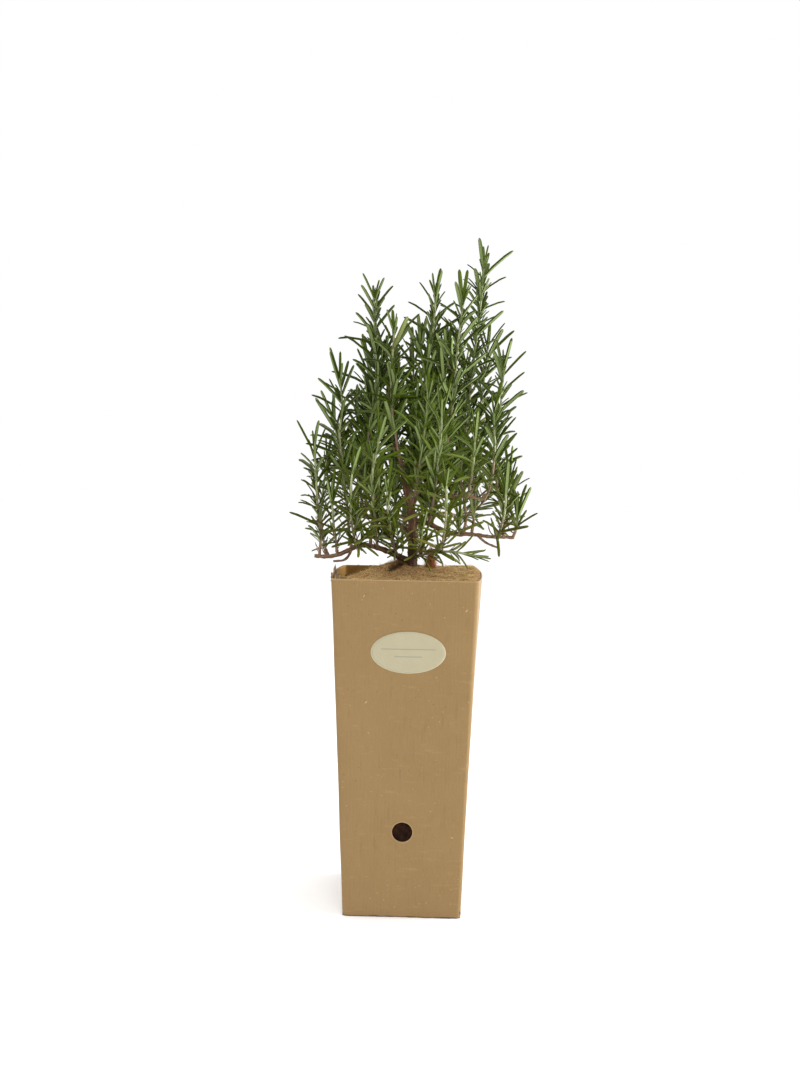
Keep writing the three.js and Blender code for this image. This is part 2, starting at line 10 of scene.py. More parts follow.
import bmesh
import bpy
import numpy as np
from bpy.props import FloatProperty, FloatVectorProperty, IntProperty, PointerProperty
from mathutils import Matrix, Vector, noise

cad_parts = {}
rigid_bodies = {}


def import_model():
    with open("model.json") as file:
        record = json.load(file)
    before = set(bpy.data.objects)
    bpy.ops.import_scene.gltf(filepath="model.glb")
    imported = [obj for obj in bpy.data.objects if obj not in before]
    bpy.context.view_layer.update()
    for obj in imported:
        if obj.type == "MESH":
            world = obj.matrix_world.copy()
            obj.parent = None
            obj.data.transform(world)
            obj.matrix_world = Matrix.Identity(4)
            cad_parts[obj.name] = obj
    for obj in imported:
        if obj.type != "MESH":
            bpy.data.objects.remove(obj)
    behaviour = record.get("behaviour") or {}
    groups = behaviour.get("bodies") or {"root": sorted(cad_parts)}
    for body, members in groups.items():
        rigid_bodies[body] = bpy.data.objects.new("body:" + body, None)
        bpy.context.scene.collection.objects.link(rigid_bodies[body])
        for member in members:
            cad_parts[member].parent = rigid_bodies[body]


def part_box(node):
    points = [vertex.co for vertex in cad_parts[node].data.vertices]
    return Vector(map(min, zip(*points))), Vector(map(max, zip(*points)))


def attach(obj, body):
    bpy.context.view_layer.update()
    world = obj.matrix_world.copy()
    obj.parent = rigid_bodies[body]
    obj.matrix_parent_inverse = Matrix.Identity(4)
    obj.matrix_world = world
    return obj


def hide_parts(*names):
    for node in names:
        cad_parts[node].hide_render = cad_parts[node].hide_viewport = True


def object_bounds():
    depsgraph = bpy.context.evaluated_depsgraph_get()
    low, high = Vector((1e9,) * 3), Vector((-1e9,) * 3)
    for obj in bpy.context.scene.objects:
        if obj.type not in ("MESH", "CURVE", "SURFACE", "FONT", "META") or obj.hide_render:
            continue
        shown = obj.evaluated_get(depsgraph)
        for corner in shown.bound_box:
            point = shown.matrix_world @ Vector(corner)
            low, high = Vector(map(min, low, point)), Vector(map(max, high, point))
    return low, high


bl_info = {
    "name": "Potted rosemary",
    "version": (1, 0, 0),
    "blender": (4, 5, 0),
    "location": "View3D > Sidebar > Rosemary",
    "description": "Builds a rosemary in a tall pot of corrugated board",
    "category": "Add Mesh",
}

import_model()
CAD_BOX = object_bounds()
MM = 0.001
POT_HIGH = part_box("cardboard_pot")[1]
LABEL_LOW, LABEL_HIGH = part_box("oval_label")
MAT_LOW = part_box("coir_mat")[0]
COMPOST_LOW, COMPOST_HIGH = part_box("compost")
SHAPE_COUNT = 12  # different strands, crumbs and bits to pick from
CROWDED = 0.025  # the stretch behind a shoot's tip where the pairs stand closer together
EXTRA = CROWDED * 0.88  # what that adds to its length when pairs are counted
COMPOST = ("compost", "compost")  # slot and node
MAT = ("coir", "coir_mat")


def srgb(red, green, blue):
    """A colour given in 0-255 display values, as the linear values that nodes use."""
    shares = [channel / 255 for channel in (red, green, blue)]
    return tuple(s / 12.92 if s <= 0.04045 else ((s + 0.055) / 1.055) ** 2.4 for s in shares)


def tone(color, factor):
    """The colour made darker or paler."""
    return tuple(channel * factor for channel in color)


# ------------------------------------------------------------------ the plant's routes
# Millimetres. Points from the foot outwards, as in the solids.

LIMBS = [
    # trunk
    {"radii": (6.2, 2.1), "route": [(5, 0, 300), (5, 0, 340), (4.5, 0, 370), (4, 0, 385), (2, 0, 400),
        (-2, -2, 415), (-5, -4, 430), (-9, -6, 450)]},
    # left arm, over the rim to its cut end
    {"radii": (3, 1.6), "route": [(4, 0, 344), (-12, -3, 351), (-21, -6, 355.5), (-38, -9, 360.5),
        (-47, -10, 361), (-61.5, -10, 354.5), (-70, -10, 351), (-79, -10, 349), (-93, -11, 349.5)]},
    # hooked twig under the left arm
    {"radii": (1.3, 1), "route": [(-55, -10, 358), (-60, -13, 348.5), (-64, -15, 346), (-73.5, -17, 345)]},
    # upper left arm
    {"radii": (1.8, 1.2), "route": [(4, 0, 387), (-12, 5, 390), (-24, 8, 389), (-38, 11, 387),
        (-47, 13, 388.5), (-53, 14, 392.5), (-57, 15, 401), (-58, 16, 410)]},
    # right arm
    {"radii": (2.6, 1.3), "route": [(4, 0, 386), (17, 2, 384), (33, 4, 377), (49.5, 3, 372.5),
        (58.5, 2, 373), (71, 1, 372), (85, 0, 370.5), (98.5, 0, 370.5), (106.5, -2, 370)]},
    # cut twig under the right arm
    {"radii": (1.2, 0.9), "route": [(69.5, 1, 372), (78.5, -6, 365), (90.5, -12, 360.5)]},
    # upper right arm, off the stem of the second right shoot
    {"radii": (1.8, 1.3), "route": [(29, -8, 410), (49.5, -14, 412), (62, -19, 411), (76, -24, 409)]},
    # rear arms
    {"radii": (2.2, 1.5), "route": [(4, 0, 370), (-6, 16, 378), (-16, 32, 384), (-26, 44, 386)]},
    {"radii": (2.2, 1.5), "route": [(4, 0, 376), (14, 18, 385), (26, 34, 390), (40, 46, 392)]},
]

# `bare` is the length of brown twig below the first leaves; `side` is a fork of the stem; `lush` is how
# much longer the needles are than on the others.
SHOOTS = [
    # left, from the left arm
    {"bare": 9, "route": [(-88, -11, 350), (-87, -11, 370), (-90, -13, 400), (-92, -14, 435),
        (-95, -14, 470)]},
    {"bare": 12, "route": [(-70, -10, 351), (-71, -20, 366), (-73, -27, 388), (-75, -30, 422)]},
    {"bare": 24, "route": [(-56, -10, 358), (-59, -6, 375), (-61, -3, 395), (-65, 0, 430), (-70, 2, 470),
        (-68, 4, 500), (-70, 5, 522), (-74, 6, 540)], "side": [(-65, 0, 432), (-70, 10, 453),
        (-76, 18, 478), (-81, 22, 498)]},
    {"bare": 12, "route": [(-37, -9, 360.5), (-36, -16, 372), (-33, -20, 385), (-31, -22, 402)]},
    {"bare": 14, "route": [(-79, -10, 349), (-84, 6, 357), (-89, 22, 370), (-91, 34, 394), (-88, 40, 432),
        (-84, 42, 462)]},
    # left, from the upper left arm
    {"bare": 14, "route": [(-44, 12.5, 388), (-44, 20, 405), (-47, 25, 430), (-52, 29, 470),
        (-58, 32, 507)]},
    {"bare": 16, "route": [(-53, 14, 392.5), (-51, 9, 412), (-48, 6, 430), (-40, 5, 480), (-34, 4, 530),
        (-36, 5, 570), (-37, 5, 600), (-37, 4, 622)]},
    {"bare": 6, "route": [(-58, 15.6, 408), (-63, 24, 424), (-69, 33, 450), (-69, 40, 480)]},
    # front, over the rim
    {"bare": 12, "route": [(-8, -2, 349), (-12, -20, 358), (-16, -36, 378), (-19, -46, 405),
        (-19, -50, 432)]},
    {"bare": 14, "route": [(-30, -7.6, 358.6), (-30, -24, 366), (-31, -38, 388), (-33, -46, 412),
        (-33, -52, 437), (-28, -56, 460), (-26, -58, 482)]},
    {"bare": 14, "route": [(-47, -10, 361), (-49, -26, 362), (-51, -44, 372), (-53, -56, 392),
        (-53, -62, 420), (-50, -64, 450)]},
    {"bare": 12, "route": [(5, 0, 347), (14, -12, 352), (28, -20, 356), (46, -25, 357), (66, -28, 354),
        (80, -29, 354)], "side": [(30, -20.5, 356.2), (34, -36, 364), (37, -50, 382), (38, -58, 406),
        (37, -62, 438)]},
    {"bare": 8, "route": [(5, 0, 350), (9, -12, 354), (13, -22, 363), (15, -29, 378), (15, -33, 396)]},
    # the crown's middle, off the trunk
    {"bare": 18, "route": [(-9, -6, 448), (-14, -8, 475), (-18, -10, 505), (-18, -11, 530),
        (-17, -11, 555), (-15, -12, 586)]},
    {"bare": 16, "route": [(0, -1, 408), (5, 8, 425), (5, 17, 450), (3, 23, 480), (3, 26, 520),
        (2, 27, 545), (0, 28, 567)]},
    {"bare": 20, "route": [(3, 0, 392), (8, 4, 410), (10, 5, 440), (12, 4, 480), (14, 3, 510),
        (18, 2, 545), (22, 0, 575), (24, 0, 604), (23, 0, 624)]},
    {"bare": 16, "route": [(2, 0, 400), (7, -14, 415), (11, -24, 440), (16, -31, 475), (20, -34, 520)]},
    {"bare": 14, "route": [(24, 3, 381), (24, 18, 400), (25, 30, 435), (28, 35, 475), (31, 37, 520),
        (35, 38, 574)]},
    {"bare": 14, "route": [(20, 2.5, 382.5), (23, -16, 393), (26, -31, 411), (29, -41, 440),
        (32, -46, 476), (32, -48, 503)]},
    # right, off the right arms
    {"bare": 38, "route": [(14, 1.5, 384.5), (22, -4, 396), (29, -8, 410), (34, -11, 440), (38, -13, 465),
        (42, -15, 495), (44.5, -16, 525), (47, -16, 560), (50, -17, 590), (52, -17, 616)]},
    {"bare": 22, "route": [(56, 2, 373), (58, 6, 390), (55, 9, 412), (52, 10, 430), (53, 11, 450),
        (57, 12, 480), (61, 12, 520), (63, 12, 545), (69, 12, 600), (73, 12, 658)]},
    {"bare": 16, "route": [(64, 1.6, 372.6), (66, 14, 385), (67, 23, 405), (68, 28, 430), (69, 29, 460),
        (72, 30, 505), (76, 31, 540), (79, 32, 577)]},
    {"bare": 18, "route": [(96, 0, 370.5), (95, 1, 395), (90, 2, 415), (86.5, 2, 443), (85, 2, 468),
        (90.5, 3, 500), (92, 3, 526), (94, 3, 554)]},
    {"bare": 5, "route": [(75, -23.6, 409), (80, -28, 420), (83, -31, 440), (84, -33, 460),
        (83, -35, 480), (82, -36, 507)]},
    {"bare": 9, "lush": 1.35, "route": [(105, -2, 370), (108, -3.5, 379), (109, -6, 394), (107, -8, 406)]},
    {"bare": 10, "route": [(50, 3, 372.4), (51, -10, 376), (52, -20, 385), (51, -27, 402)]},
    {"bare": 10, "route": [(59, -18, 411.2), (60, -30, 418), (62, -42, 432), (64, -50, 455),
        (64, -54, 482)]},
    {"bare": 12, "route": [(85, 0, 370.5), (88, -16, 373), (92, -30, 383), (95, -40, 402), (94, -46, 432)]},
    {"bare": 12, "route": [(90, 0, 370.5), (95, 14, 375), (101, 26, 388), (104, 33, 413), (102, 36, 446)]},
    # rear, off the rear arms
    {"bare": 8, "route": [(-24, 42, 385.6), (-34, 50, 400), (-42, 55, 436), (-46, 57, 480),
        (-46, 56, 520), (-45, 54, 562)]},
    {"bare": 10, "route": [(-16, 32, 384), (-15, 42, 399), (-15, 50, 430), (-17, 56, 470), (-18, 60, 512),
        (-18, 62, 556)]},
    {"bare": 10, "route": [(-25, 43, 385.8), (-42, 58, 386), (-56, 66, 396), (-66, 70, 420),
        (-70, 70, 450)]},
    {"bare": 10, "route": [(-8, 19, 379.2), (-7, 38, 375), (-5, 56, 380), (-4, 68, 398), (-4, 73, 434)]},
    {"bare": 8, "route": [(38, 44.6, 391.8), (47, 52, 408), (53, 57, 440), (56, 60, 480), (57, 60, 520),
        (56, 58, 560)]},
    {"bare": 12, "route": [(18, 23, 387.2), (17, 36, 401), (16, 46, 430), (18, 54, 470), (20, 58, 520),
        (22, 58, 576)]},
    {"bare": 8, "route": [(39, 45.4, 391.9), (56, 60, 388), (72, 66, 396), (84, 68, 418), (88, 66, 450),
        (88, 60, 486)]},
]


# ------------------------------------------------------------------ settings


def metres(name, default, about):
    return FloatProperty(name=name, description=about, default=default, unit="LENGTH", precision=5)


def degrees(name, default, about):
    return FloatProperty(name=name, description=about, default=math.radians(default), subtype="ANGLE")


def whole_number(name, default, about):
    return IntProperty(name=name, description=about, default=default, min=0)


def paint(name, default, about):
    return FloatVectorProperty(name=name, description=about, default=default, subtype="COLOR")


class PotSettings(bpy.types.PropertyGroup):
    """The corrugated pot and its label."""

    height: metres("Height", 0.333, "Rim above the ground")
    foot_width: metres("Foot width", 0.116, "Across the foot, outside")
    board: metres("Board", 0.002, "Thickness of the board")
    liner: metres("Liner", 0.00032, "Thickness of one paper liner")
    fold_radius: metres("Fold radius", 0.004, "Of the upright folds")
    bulge: metres("Bulge", 0.005, "How far a side panel stands out at the rim")
    flute_pitch: metres("Flute pitch", 0.0034, "From crest to crest")
    vent_diameter: metres("Vent", 0.020, "Diameter of the vent holes")
    vent_height: metres("Vent height", 0.086, "Of the vents' centres")
    kraft: paint("Board colour", srgb(141, 115, 77), "Brown kraft paper")
    paper: paint("Label colour", srgb(166, 158, 129), "Unbleached label paper")


class GroundSettings(bpy.types.PropertyGroup):
    """The compost and the coir mat."""

    mat_edge: metres("Mat edge", 0.3315, "Height of the mat at the board")
    mound: metres("Mound", 0.0065, "Extra height at the trunk")
    ridge: metres("Ridge", 0.0094, "Extra height of the slit's edge")
    fibres: whole_number("Fibres", 7600, "Loose fibres on the mat")
    fuzz: whole_number("Fuzz", 6000, "Short fibres on the mat")
    fibre_length: metres("Fibre length", 0.0085, "Of a usual fibre")
    fibre_thickness: metres("Fibre thickness", 0.00024, "Of a usual fibre")
    dust: whole_number("Dust", 700, "Dark bits in the mat")
    tuft_fibres: whole_number("Tuft fibres", 1100, "Upright fibres beside the trunk")
    crumbs: whole_number("Crumbs", 900, "Crumbs of compost")
    coir: paint("Coir colour", srgb(240, 188, 131), "Washed coconut fibre")
    compost: paint("Compost colour", srgb(37, 20, 9), "Moist compost")


class PlantSettings(bpy.types.PropertyGroup):
    """The rosemary."""

    needle_length: metres("Needle length", 0.032, "Of a full-grown needle")
    needle_width: metres("Needle width", 0.0031, "At its widest")
    node_spacing: metres("Pair spacing", 0.0089, "Between pairs of needles")
    tip_reach: metres("Tip reach", 0.015, "From the end of a stem to the end of its route")
    spray_zone: metres("Spray zone", 0.056, "Shoots this near the middle have side twigs")
    overhang: metres("Overhang", 0.0025, "How far needles reach out of the solids' box")
    stem_radius: metres("Stem radius", 0.00135, "Of a leafy stem's foot")
    tip_radius: metres("Tip radius", 0.00105, "Of a leafy stem's tip")
    bark_depth: metres("Bark depth", 0.0006, "Relief of the bark")
    leaf_dark: paint("Dark leaf", srgb(86, 106, 20), "Old upper sides")
    leaf_light: paint("Light leaf", srgb(148, 169, 84), "Lit upper sides")
    leaf_young: paint("Young leaf", srgb(82, 98, 24), "At the tips")
    leaf_under: paint("Leaf underside", srgb(138, 154, 100), "Felted underside")
    bark: paint("Bark", srgb(110, 78, 54), "Old bark")


class StageSettings(bpy.types.PropertyGroup):
    """The camera and the light."""

    camera_place: FloatVectorProperty(name="Camera", description="Where the camera stands",
                                      subtype="TRANSLATION", default=(0.0337, -1.160, 0.4545))
    yaw: degrees("Yaw", 2.06, "Turn to the left")
    pitch: degrees("Pitch", 4.04, "Tilt down")
    roll: degrees("Roll", 0.75, "Turn about the view")
    lens: FloatProperty(name="Lens", description="Focal length in mm on a 36 mm sensor", default=39.02)
    floor: paint("Floor", (0.99, 0.99, 0.99), "Floor colour")


# ------------------------------------------------------------------ node graphs


def operator(operation, swapped=False):
    """A method that turns a Python operator into a Math or Vector Math node."""
    def method(self, other):
        return self.graph.math(operation, *((other, self) if swapped else (self, other)))
    return method


class Field:
    """A socket that can be used in Python expressions, each of which adds its nodes."""

    def __init__(self, graph, socket):
        self.graph = graph
        self.socket = socket

    __add__ = __radd__ = operator("ADD")
    __sub__, __rsub__ = operator("SUBTRACT"), operator("SUBTRACT", swapped=True)
    __mul__ = __rmul__ = operator("MULTIPLY")
    __truediv__, __pow__ = operator("DIVIDE"), operator("POWER")
    __gt__, __lt__ = operator("GREATER_THAN"), operator("LESS_THAN")


class Graph:
    """Adds nodes to a tree: a kind, what its sockets hold, and its settings."""

    def __init__(self, tree):
        self.tree = tree

    def node(self, kind, inputs=None, **settings):
        made = self.tree.nodes.new(kind)
        for name, value in settings.items():
            setattr(made, name, value)
        for name, value in (inputs or {}).items():
            if isinstance(value, Field):
                self.tree.links.new(value.socket, made.inputs[name])
            else:
                made.inputs[name].default_value = value
        return made

    def field(self, kind, inputs=None, output=0, **settings):
        return Field(self, self.node(kind, inputs, **settings).outputs[output])

    def fields(self, outputs, kind, inputs=None, **settings):
        """Several outputs of one node."""
        made = self.node(kind, inputs, **settings)
        return [Field(self, made.outputs[name]) for name in outputs]

    def axes(self, vector):
        return self.fields("XYZ", "ShaderNodeSeparateXYZ", {"Vector": vector})

    def vector(self, x=0.0, y=0.0, z=0.0):
        return self.field("ShaderNodeCombineXYZ", {"X": x, "Y": y, "Z": z})

    def math(self, operation, *values):
        """A number or, where one of the values is a vector, a vector."""
        vectors = [v for v in values if isinstance(v, Field) and v.socket.type == "VECTOR"]
        if not vectors:
            return self.field("ShaderNodeMath", dict(enumerate(values)), operation=operation)
        if operation == "MULTIPLY" and len(vectors) == 1:
            scale = next(v for v in values if v is not vectors[0])
            return self.field("ShaderNodeVectorMath", {0: vectors[0], "Scale": scale}, operation="SCALE")
        return self.field("ShaderNodeVectorMath", dict(enumerate(values)), operation=operation)

    def distance(self, first, second):
        return self.field("ShaderNodeVectorMath", {0: first, 1: second}, output="Value",
                          operation="DISTANCE")

    def smooth(self, value, low, high):
        """0 below `low` and 1 above `high`, with an even rise between them."""
        return self.field("ShaderNodeMapRange", {"Value": value, "From Min": low, "From Max": high},
                          interpolation_type="SMOOTHSTEP")

    def blend(self, share, low, high):
        """A number that goes from `low` to `high` with a share."""
        return low + (high - low) * share

    def mix(self, share, first, second):
        """A colour between two colours."""
        first, second = ((*c, 1) if isinstance(c, tuple) and len(c) == 3 else c for c in (first, second))
        return self.field("ShaderNodeMix", {0: share, 6: first, 7: second}, output=2, data_type="RGBA")


class Shader(Graph):
    """A material on one Principled shader."""

    def __init__(self, name, **constants):
        self.material = bpy.data.materials.new(name)
        self.material.use_nodes = True
        super().__init__(self.material.node_tree)
        self.surface = next(n for n in self.tree.nodes if n.type == "BSDF_PRINCIPLED")
        for socket, value in constants.items():
            self.surface.inputs[socket.replace("_", " ")].default_value = value

    def place(self, stretch=(1, 1, 1), lean=0.0):
        """Object coordinates in metres, leant about Y and then stretched along the axes."""
        here = self.field("ShaderNodeTexCoord", output="Object")
        if lean:
            here = self.field("ShaderNodeMapping", {"Vector": here, "Rotation": (0, lean, 0)})
        if stretch != (1, 1, 1):
            here = self.field("ShaderNodeMapping", {"Vector": here, "Scale": stretch})
        return here

    def attribute(self, name):
        return self.field("ShaderNodeAttribute", output="Fac", attribute_name=name)

    def noise(self, size, stretch=(1, 1, 1), detail=3.0, roughness=0.55):
        """Soft noise from 0 to 1 with lumps of about `size` metres."""
        return self.field("ShaderNodeTexNoise", {
            "Vector": self.place(stretch), "Scale": 1 / size, "Detail": detail, "Roughness": roughness})

    def speckle(self, size, share, stretch=(1, 1, 1), lean=0.0):
        """1 on scattered specks of about `size` metres, on this share of the cells."""
        away, draw = self.fields(("Distance", "Color"), "ShaderNodeTexVoronoi", {
            "Vector": self.place(stretch, lean), "Scale": 0.35 / size})
        chosen, reach = self.fields(("Red", "Green"), "ShaderNodeSeparateColor", {"Color": draw})
        reach = self.blend(reach, 0.08, 0.24)
        return (1 - self.smooth(away, reach * 0.6, reach)) * (chosen < share)

    def layers(self, ground, *layers):
        """A colour with others laid over it, each by a share."""
        for share, color in layers:
            ground = self.mix(share, ground, color)
        return ground

    def finished(self, color, relief, depth, rough=None):
        """The material, with what feeds its colour, its relief and its roughness."""
        bump = self.field("ShaderNodeBump", {"Height": relief, "Distance": depth, "Strength": 1.0})
        for socket, value in (("Base Color", color), ("Normal", bump), ("Roughness", rough)):
            if value is not None:
                self.tree.links.new(value.socket, self.surface.inputs[socket])
        return self.material


def evaluated_mesh(piece):
    """What an object's modifiers make of it, as a plain mesh. The object goes."""
    bpy.context.view_layer.update()
    graph = bpy.context.evaluated_depsgraph_get()
    made = bpy.data.meshes.new_from_object(piece.evaluated_get(graph), preserve_all_data_layers=True,
                                           depsgraph=graph)
    piece.modifiers.clear()
    bpy.data.objects.remove(piece)
    return made


def in_scene(name, data):
    made = bpy.data.objects.new(name, data)
    bpy.context.scene.collection.objects.link(made)
    return made


class GeometryGraph(Graph):
    """A geometry tree with named inputs, used through a modifier and then made plain."""

    def __init__(self, name, **inputs):
        super().__init__(bpy.data.node_groups.new(name, "GeometryNodeTree"))
        sockets = self.tree.interface
        sockets.new_socket(name="Geometry", in_out="OUTPUT", socket_type="NodeSocketGeometry")
        self.identifiers = {}
        for label, kind in {"Geometry": "Geometry", **inputs, "Seed": "Int"}.items():
            label = label.replace("_", " ")
            made = sockets.new_socket(name=label, in_out="INPUT", socket_type="NodeSocket" + kind)
            self.identifiers[label] = made.identifier
        self.source = self.node("NodeGroupInput")
        self.seed_step = 0

    def given(self, label):
        return Field(self, self.source.outputs[label])

    def random(self, low, high, kind="FLOAT"):
        """A random draw for each point, each call with a seed of its own."""
        self.seed_step += 1
        lowest, highest, output = {"FLOAT": (2, 3, 1), "INT": (4, 5, 2)}[kind]
        return self.field("FunctionNodeRandomValue", {
            lowest: low, highest: high, "Seed": self.given("Seed") + self.seed_step}, output, data_type=kind)

    def store(self, geometry, name, value):
        return self.field("GeometryNodeStoreNamedAttribute", {
            "Geometry": geometry, "Name": name, "Value": value}, data_type="FLOAT", domain="POINT")

    def named(self, name):
        return self.field("GeometryNodeInputNamedAttribute", {"Name": name}, data_type="FLOAT")

    def shapes(self, label):
        return self.field("GeometryNodeCollectionInfo", {
            "Collection": self.given(label), "Separate Children": True, "Reset Children": True})

    def turned(self, rotation, euler):
        """A rotation that is turned further about its own axes."""
        return self.field("FunctionNodeRotateRotation", {
            "Rotation": rotation, "Rotate By": self.field("FunctionNodeEulerToRotation", {"Euler": euler})},
            rotation_space="LOCAL")

    def tubes(self, lines, sides, radius, turn=None):
        """Closed tubes along lines; `turn` names an attribute that counts round the tube."""
        ring = self.field("GeometryNodeCurvePrimitiveCircle", {"Resolution": sides, "Radius": 1.0})
        if turn:
            ring = self.store(ring, turn, self.field("GeometryNodeSplineParameter", output="Factor"))
        return self.field("GeometryNodeCurveToMesh", {
            "Curve": lines, "Profile Curve": ring, "Fill Caps": True, "Scale": radius})

    def end(self, geometry, materials):
        """Realises the geometry and gives it its materials; the later ones by an attribute."""
        last = self.field("GeometryNodeRealizeInstances", {"Geometry": geometry})
        for label, attribute in materials.items():
            inputs = {"Geometry": last, "Material": self.given(label)}
            if attribute:
                inputs["Selection"] = self.named(attribute) > 0.5
            last = self.field("GeometryNodeSetMaterial", inputs)
        self.node("NodeGroupOutput", {0: last})
        return self

    def grow(self, mesh, name, **values):
        """The plain mesh that the tree makes of `mesh`."""
        source = in_scene(name + "_source", mesh)
        modifier = source.modifiers.new("grow", "NODES")
        modifier.node_group = self.tree
        for label, value in values.items():
            modifier[self.identifiers[label.replace("_", " ")]] = value
        source.update_tag()
        made = evaluated_mesh(source)
        made.name = name
        return made


# ------------------------------------------------------------------ meshes and pieces


def show(name, mesh, slot, *nodes):
    """Puts a finished mesh in the scene as a piece that stands for these nodes."""
    piece = in_scene(name, mesh)
    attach(piece, "root")
    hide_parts(*nodes)


def merged(name, meshes):
    """Several meshes as one, with their attributes and materials."""
    pieces = [in_scene(f"{name}_{i}", mesh) for i, mesh in enumerate(meshes)]
    first = pieces[0]
    with bpy.context.temp_override(active_object=first, object=first, selected_objects=pieces,
                                   selected_editable_objects=pieces):
        bpy.ops.object.join()
    mesh = first.data
    mesh.name = name
    bpy.data.objects.remove(first)
    return mesh


def smooth_shaded(mesh):
    mesh.polygons.foreach_set("use_smooth", [True] * len(mesh.polygons))
    return mesh


def grid_faces(rows, columns, closed_columns=False):
    """The quads between rows of vertices that are numbered row by row."""
    wide = columns if closed_columns else columns - 1
    return [(r * columns + c, r * columns + (c + 1) % columns, (r + 1) * columns + (c + 1) % columns,
             (r + 1) * columns + c) for r in range(rows - 1) for c in range(wide)]


def grid_edge(rows, columns):
    """The vertices round a grid of this many cells."""
    wide = columns + 1
    return (list(range(columns)) + [r * wide + columns for r in range(rows)]
            + [rows * wide + columns - c for c in range(columns)] + [(rows - r) * wide for r in range(rows)])


def turned_over(faces, shift):
    """The same faces on later vertices, facing the other way."""
    return [tuple(reversed([i + shift for i in face])) for face in faces]


def plain_mesh(name, points, faces):
    mesh = bpy.data.meshes.new(name)
    mesh.from_pydata([tuple(p) for p in points], [], faces)
    return mesh


def add_attribute(mesh, name, values):
    mesh.attributes.new(name, "FLOAT", "POINT").data.foreach_set("value", values)


def mound_noise(x, y, z, size):
    """Smooth noise from about -1 to 1 with lumps of `size` metres."""
    return noise.noise(Vector((x, y, z)) / size)


# ------------------------------------------------------------------ the board pot


class BoardForm:
    """The pot's form: where a point lies that is given by its side, height and depth."""

    def __init__(self, pot):
        self.pot = pot

    def half_at(self, z):
        foot = self.pot.foot_width / 2
        return foot + (POT_HIGH.y - foot) * z / self.pot.height

    def bulge_at(self, z):
        return self.pot.bulge * min(max(z / self.pot.height, 0), 1) ** 1.5

    def stations(self, per_side, per_fold):
        """Places round the pot: a panel with a share along it, or a fold with an angle."""
        places = []
        for side in range(4):
            places += [(side, "panel", -1 + 2 * i / per_side) for i in range(per_side)]
            places += [(side, "fold", i / per_fold) for i in range(per_fold)]
        return places

    def point(self, place, z, inset):
        side, kind, share = place
        half = self.half_at(z) - inset
        radius = max(self.pot.fold_radius - inset, 0.0008)
        inner = half - radius
        if kind == "panel":
            x, y = half, share * inner
        else:
            x = inner + radius * math.cos(share * math.pi / 2)
            y = inner + radius * math.sin(share * math.pi / 2)
        for _ in range(side):
            x, y = -y, x
        x *= 1 + self.bulge_at(z) * (1 - (y / half) ** 2) / half
        return Vector((x, y, z))

    def dent(self, point):
        """The board's slight unevenness, straight out of the panel."""
        return 0.00028 * mound_noise(point.x, point.y, point.z, 0.055)


def board_ring(form, name, inset_at, thickness, places, levels, wobble):
    """One upright sheet of the board as a closed ring, `inset_at` inside the outer face."""
    points = []
    columns = len(places)
    for depth in (0, thickness):
        for level in levels:
            for index, place in enumerate(places):
                here = form.point(place, level, inset_at(index) + depth)
                here -= Vector((here.x, here.y, 0)).normalized() * form.dent(here)
                if level == levels[-1]:
                    here.z += wobble * noise.noise(Vector((index * 0.13, 3.1, 0)))
                if level == levels[0]:
                    here.z += 2.2 * wobble * max(0, noise.noise(here * 75) - 0.05)
                points.append(here)
    rows = len(levels)
    outer = grid_faces(rows, columns, True)
    shift = rows * columns
    rim, foot = [], []
    top = shift - columns
    for here in range(columns):
        after = (here + 1) % columns
        rim.append((top + here, top + after, shift + top + after, shift + top + here))
        foot.append((after, here, shift + here, shift + after))
    return plain_mesh(name, points, outer + turned_over(outer, shift) + rim + foot)


def vent_cutter(pot):
    """Two crossed round bars through all four panels, where the vents are punched."""
    cutter = bmesh.new()
    for turn in (0, math.pi / 2):
        place = (Matrix.Translation((0, 0, pot.vent_height)) @ Matrix.Rotation(turn, 4, "Z")
                 @ Matrix.Rotation(math.pi / 2, 4, "X"))
        bmesh.ops.create_cone(cutter, cap_ends=True, segments=56, radius1=pot.vent_diameter / 2,
                              radius2=pot.vent_diameter / 2, depth=0.3 if turn == 0 else 0.31, matrix=place)
    half = POT_HIGH.y - 0.0108  # the small notch is low at the front right corner
    notch = Matrix.Translation((half - 0.0013, -half, 0.0052)) @ Matrix.Diagonal((0.002, 0.012, 0.0034, 1))
    bmesh.ops.create_cube(cutter, size=1, matrix=notch)
    mesh = bpy.data.meshes.new("vents")
    cutter.to_mesh(mesh)
    cutter.free()
    return mesh


def with_vents(mesh, pot):
    """The mesh with the vent holes cut out of it."""
    body, cutter = in_scene("body", mesh), in_scene("cutter", vent_cutter(pot))
    cut = body.modifiers.new("vents", "BOOLEAN")
    cut.operation = "DIFFERENCE"
    cut.solver = "EXACT"
    cut.use_self = True
    cut.object = cutter
    made = evaluated_mesh(body)
    bpy.data.objects.remove(cutter)
    return made


def flap(form, name, low_y, high_y, bottom, thickness):
    """A bottom flap: a flat plate that fills the foot between two depths."""
    half = form.half_at(0) - 0.0002
    points = [(x, y, z) for z in (bottom, bottom + thickness)
              for x, y in ((-half, low_y), (half, low_y), (half, high_y), (-half, high_y))]
    faces = [(3, 2, 1, 0), (4, 5, 6, 7), (0, 1, 5, 4), (1, 2, 6, 5), (2, 3, 7, 6), (3, 0, 4, 7)]
    return plain_mesh(name, points, faces)


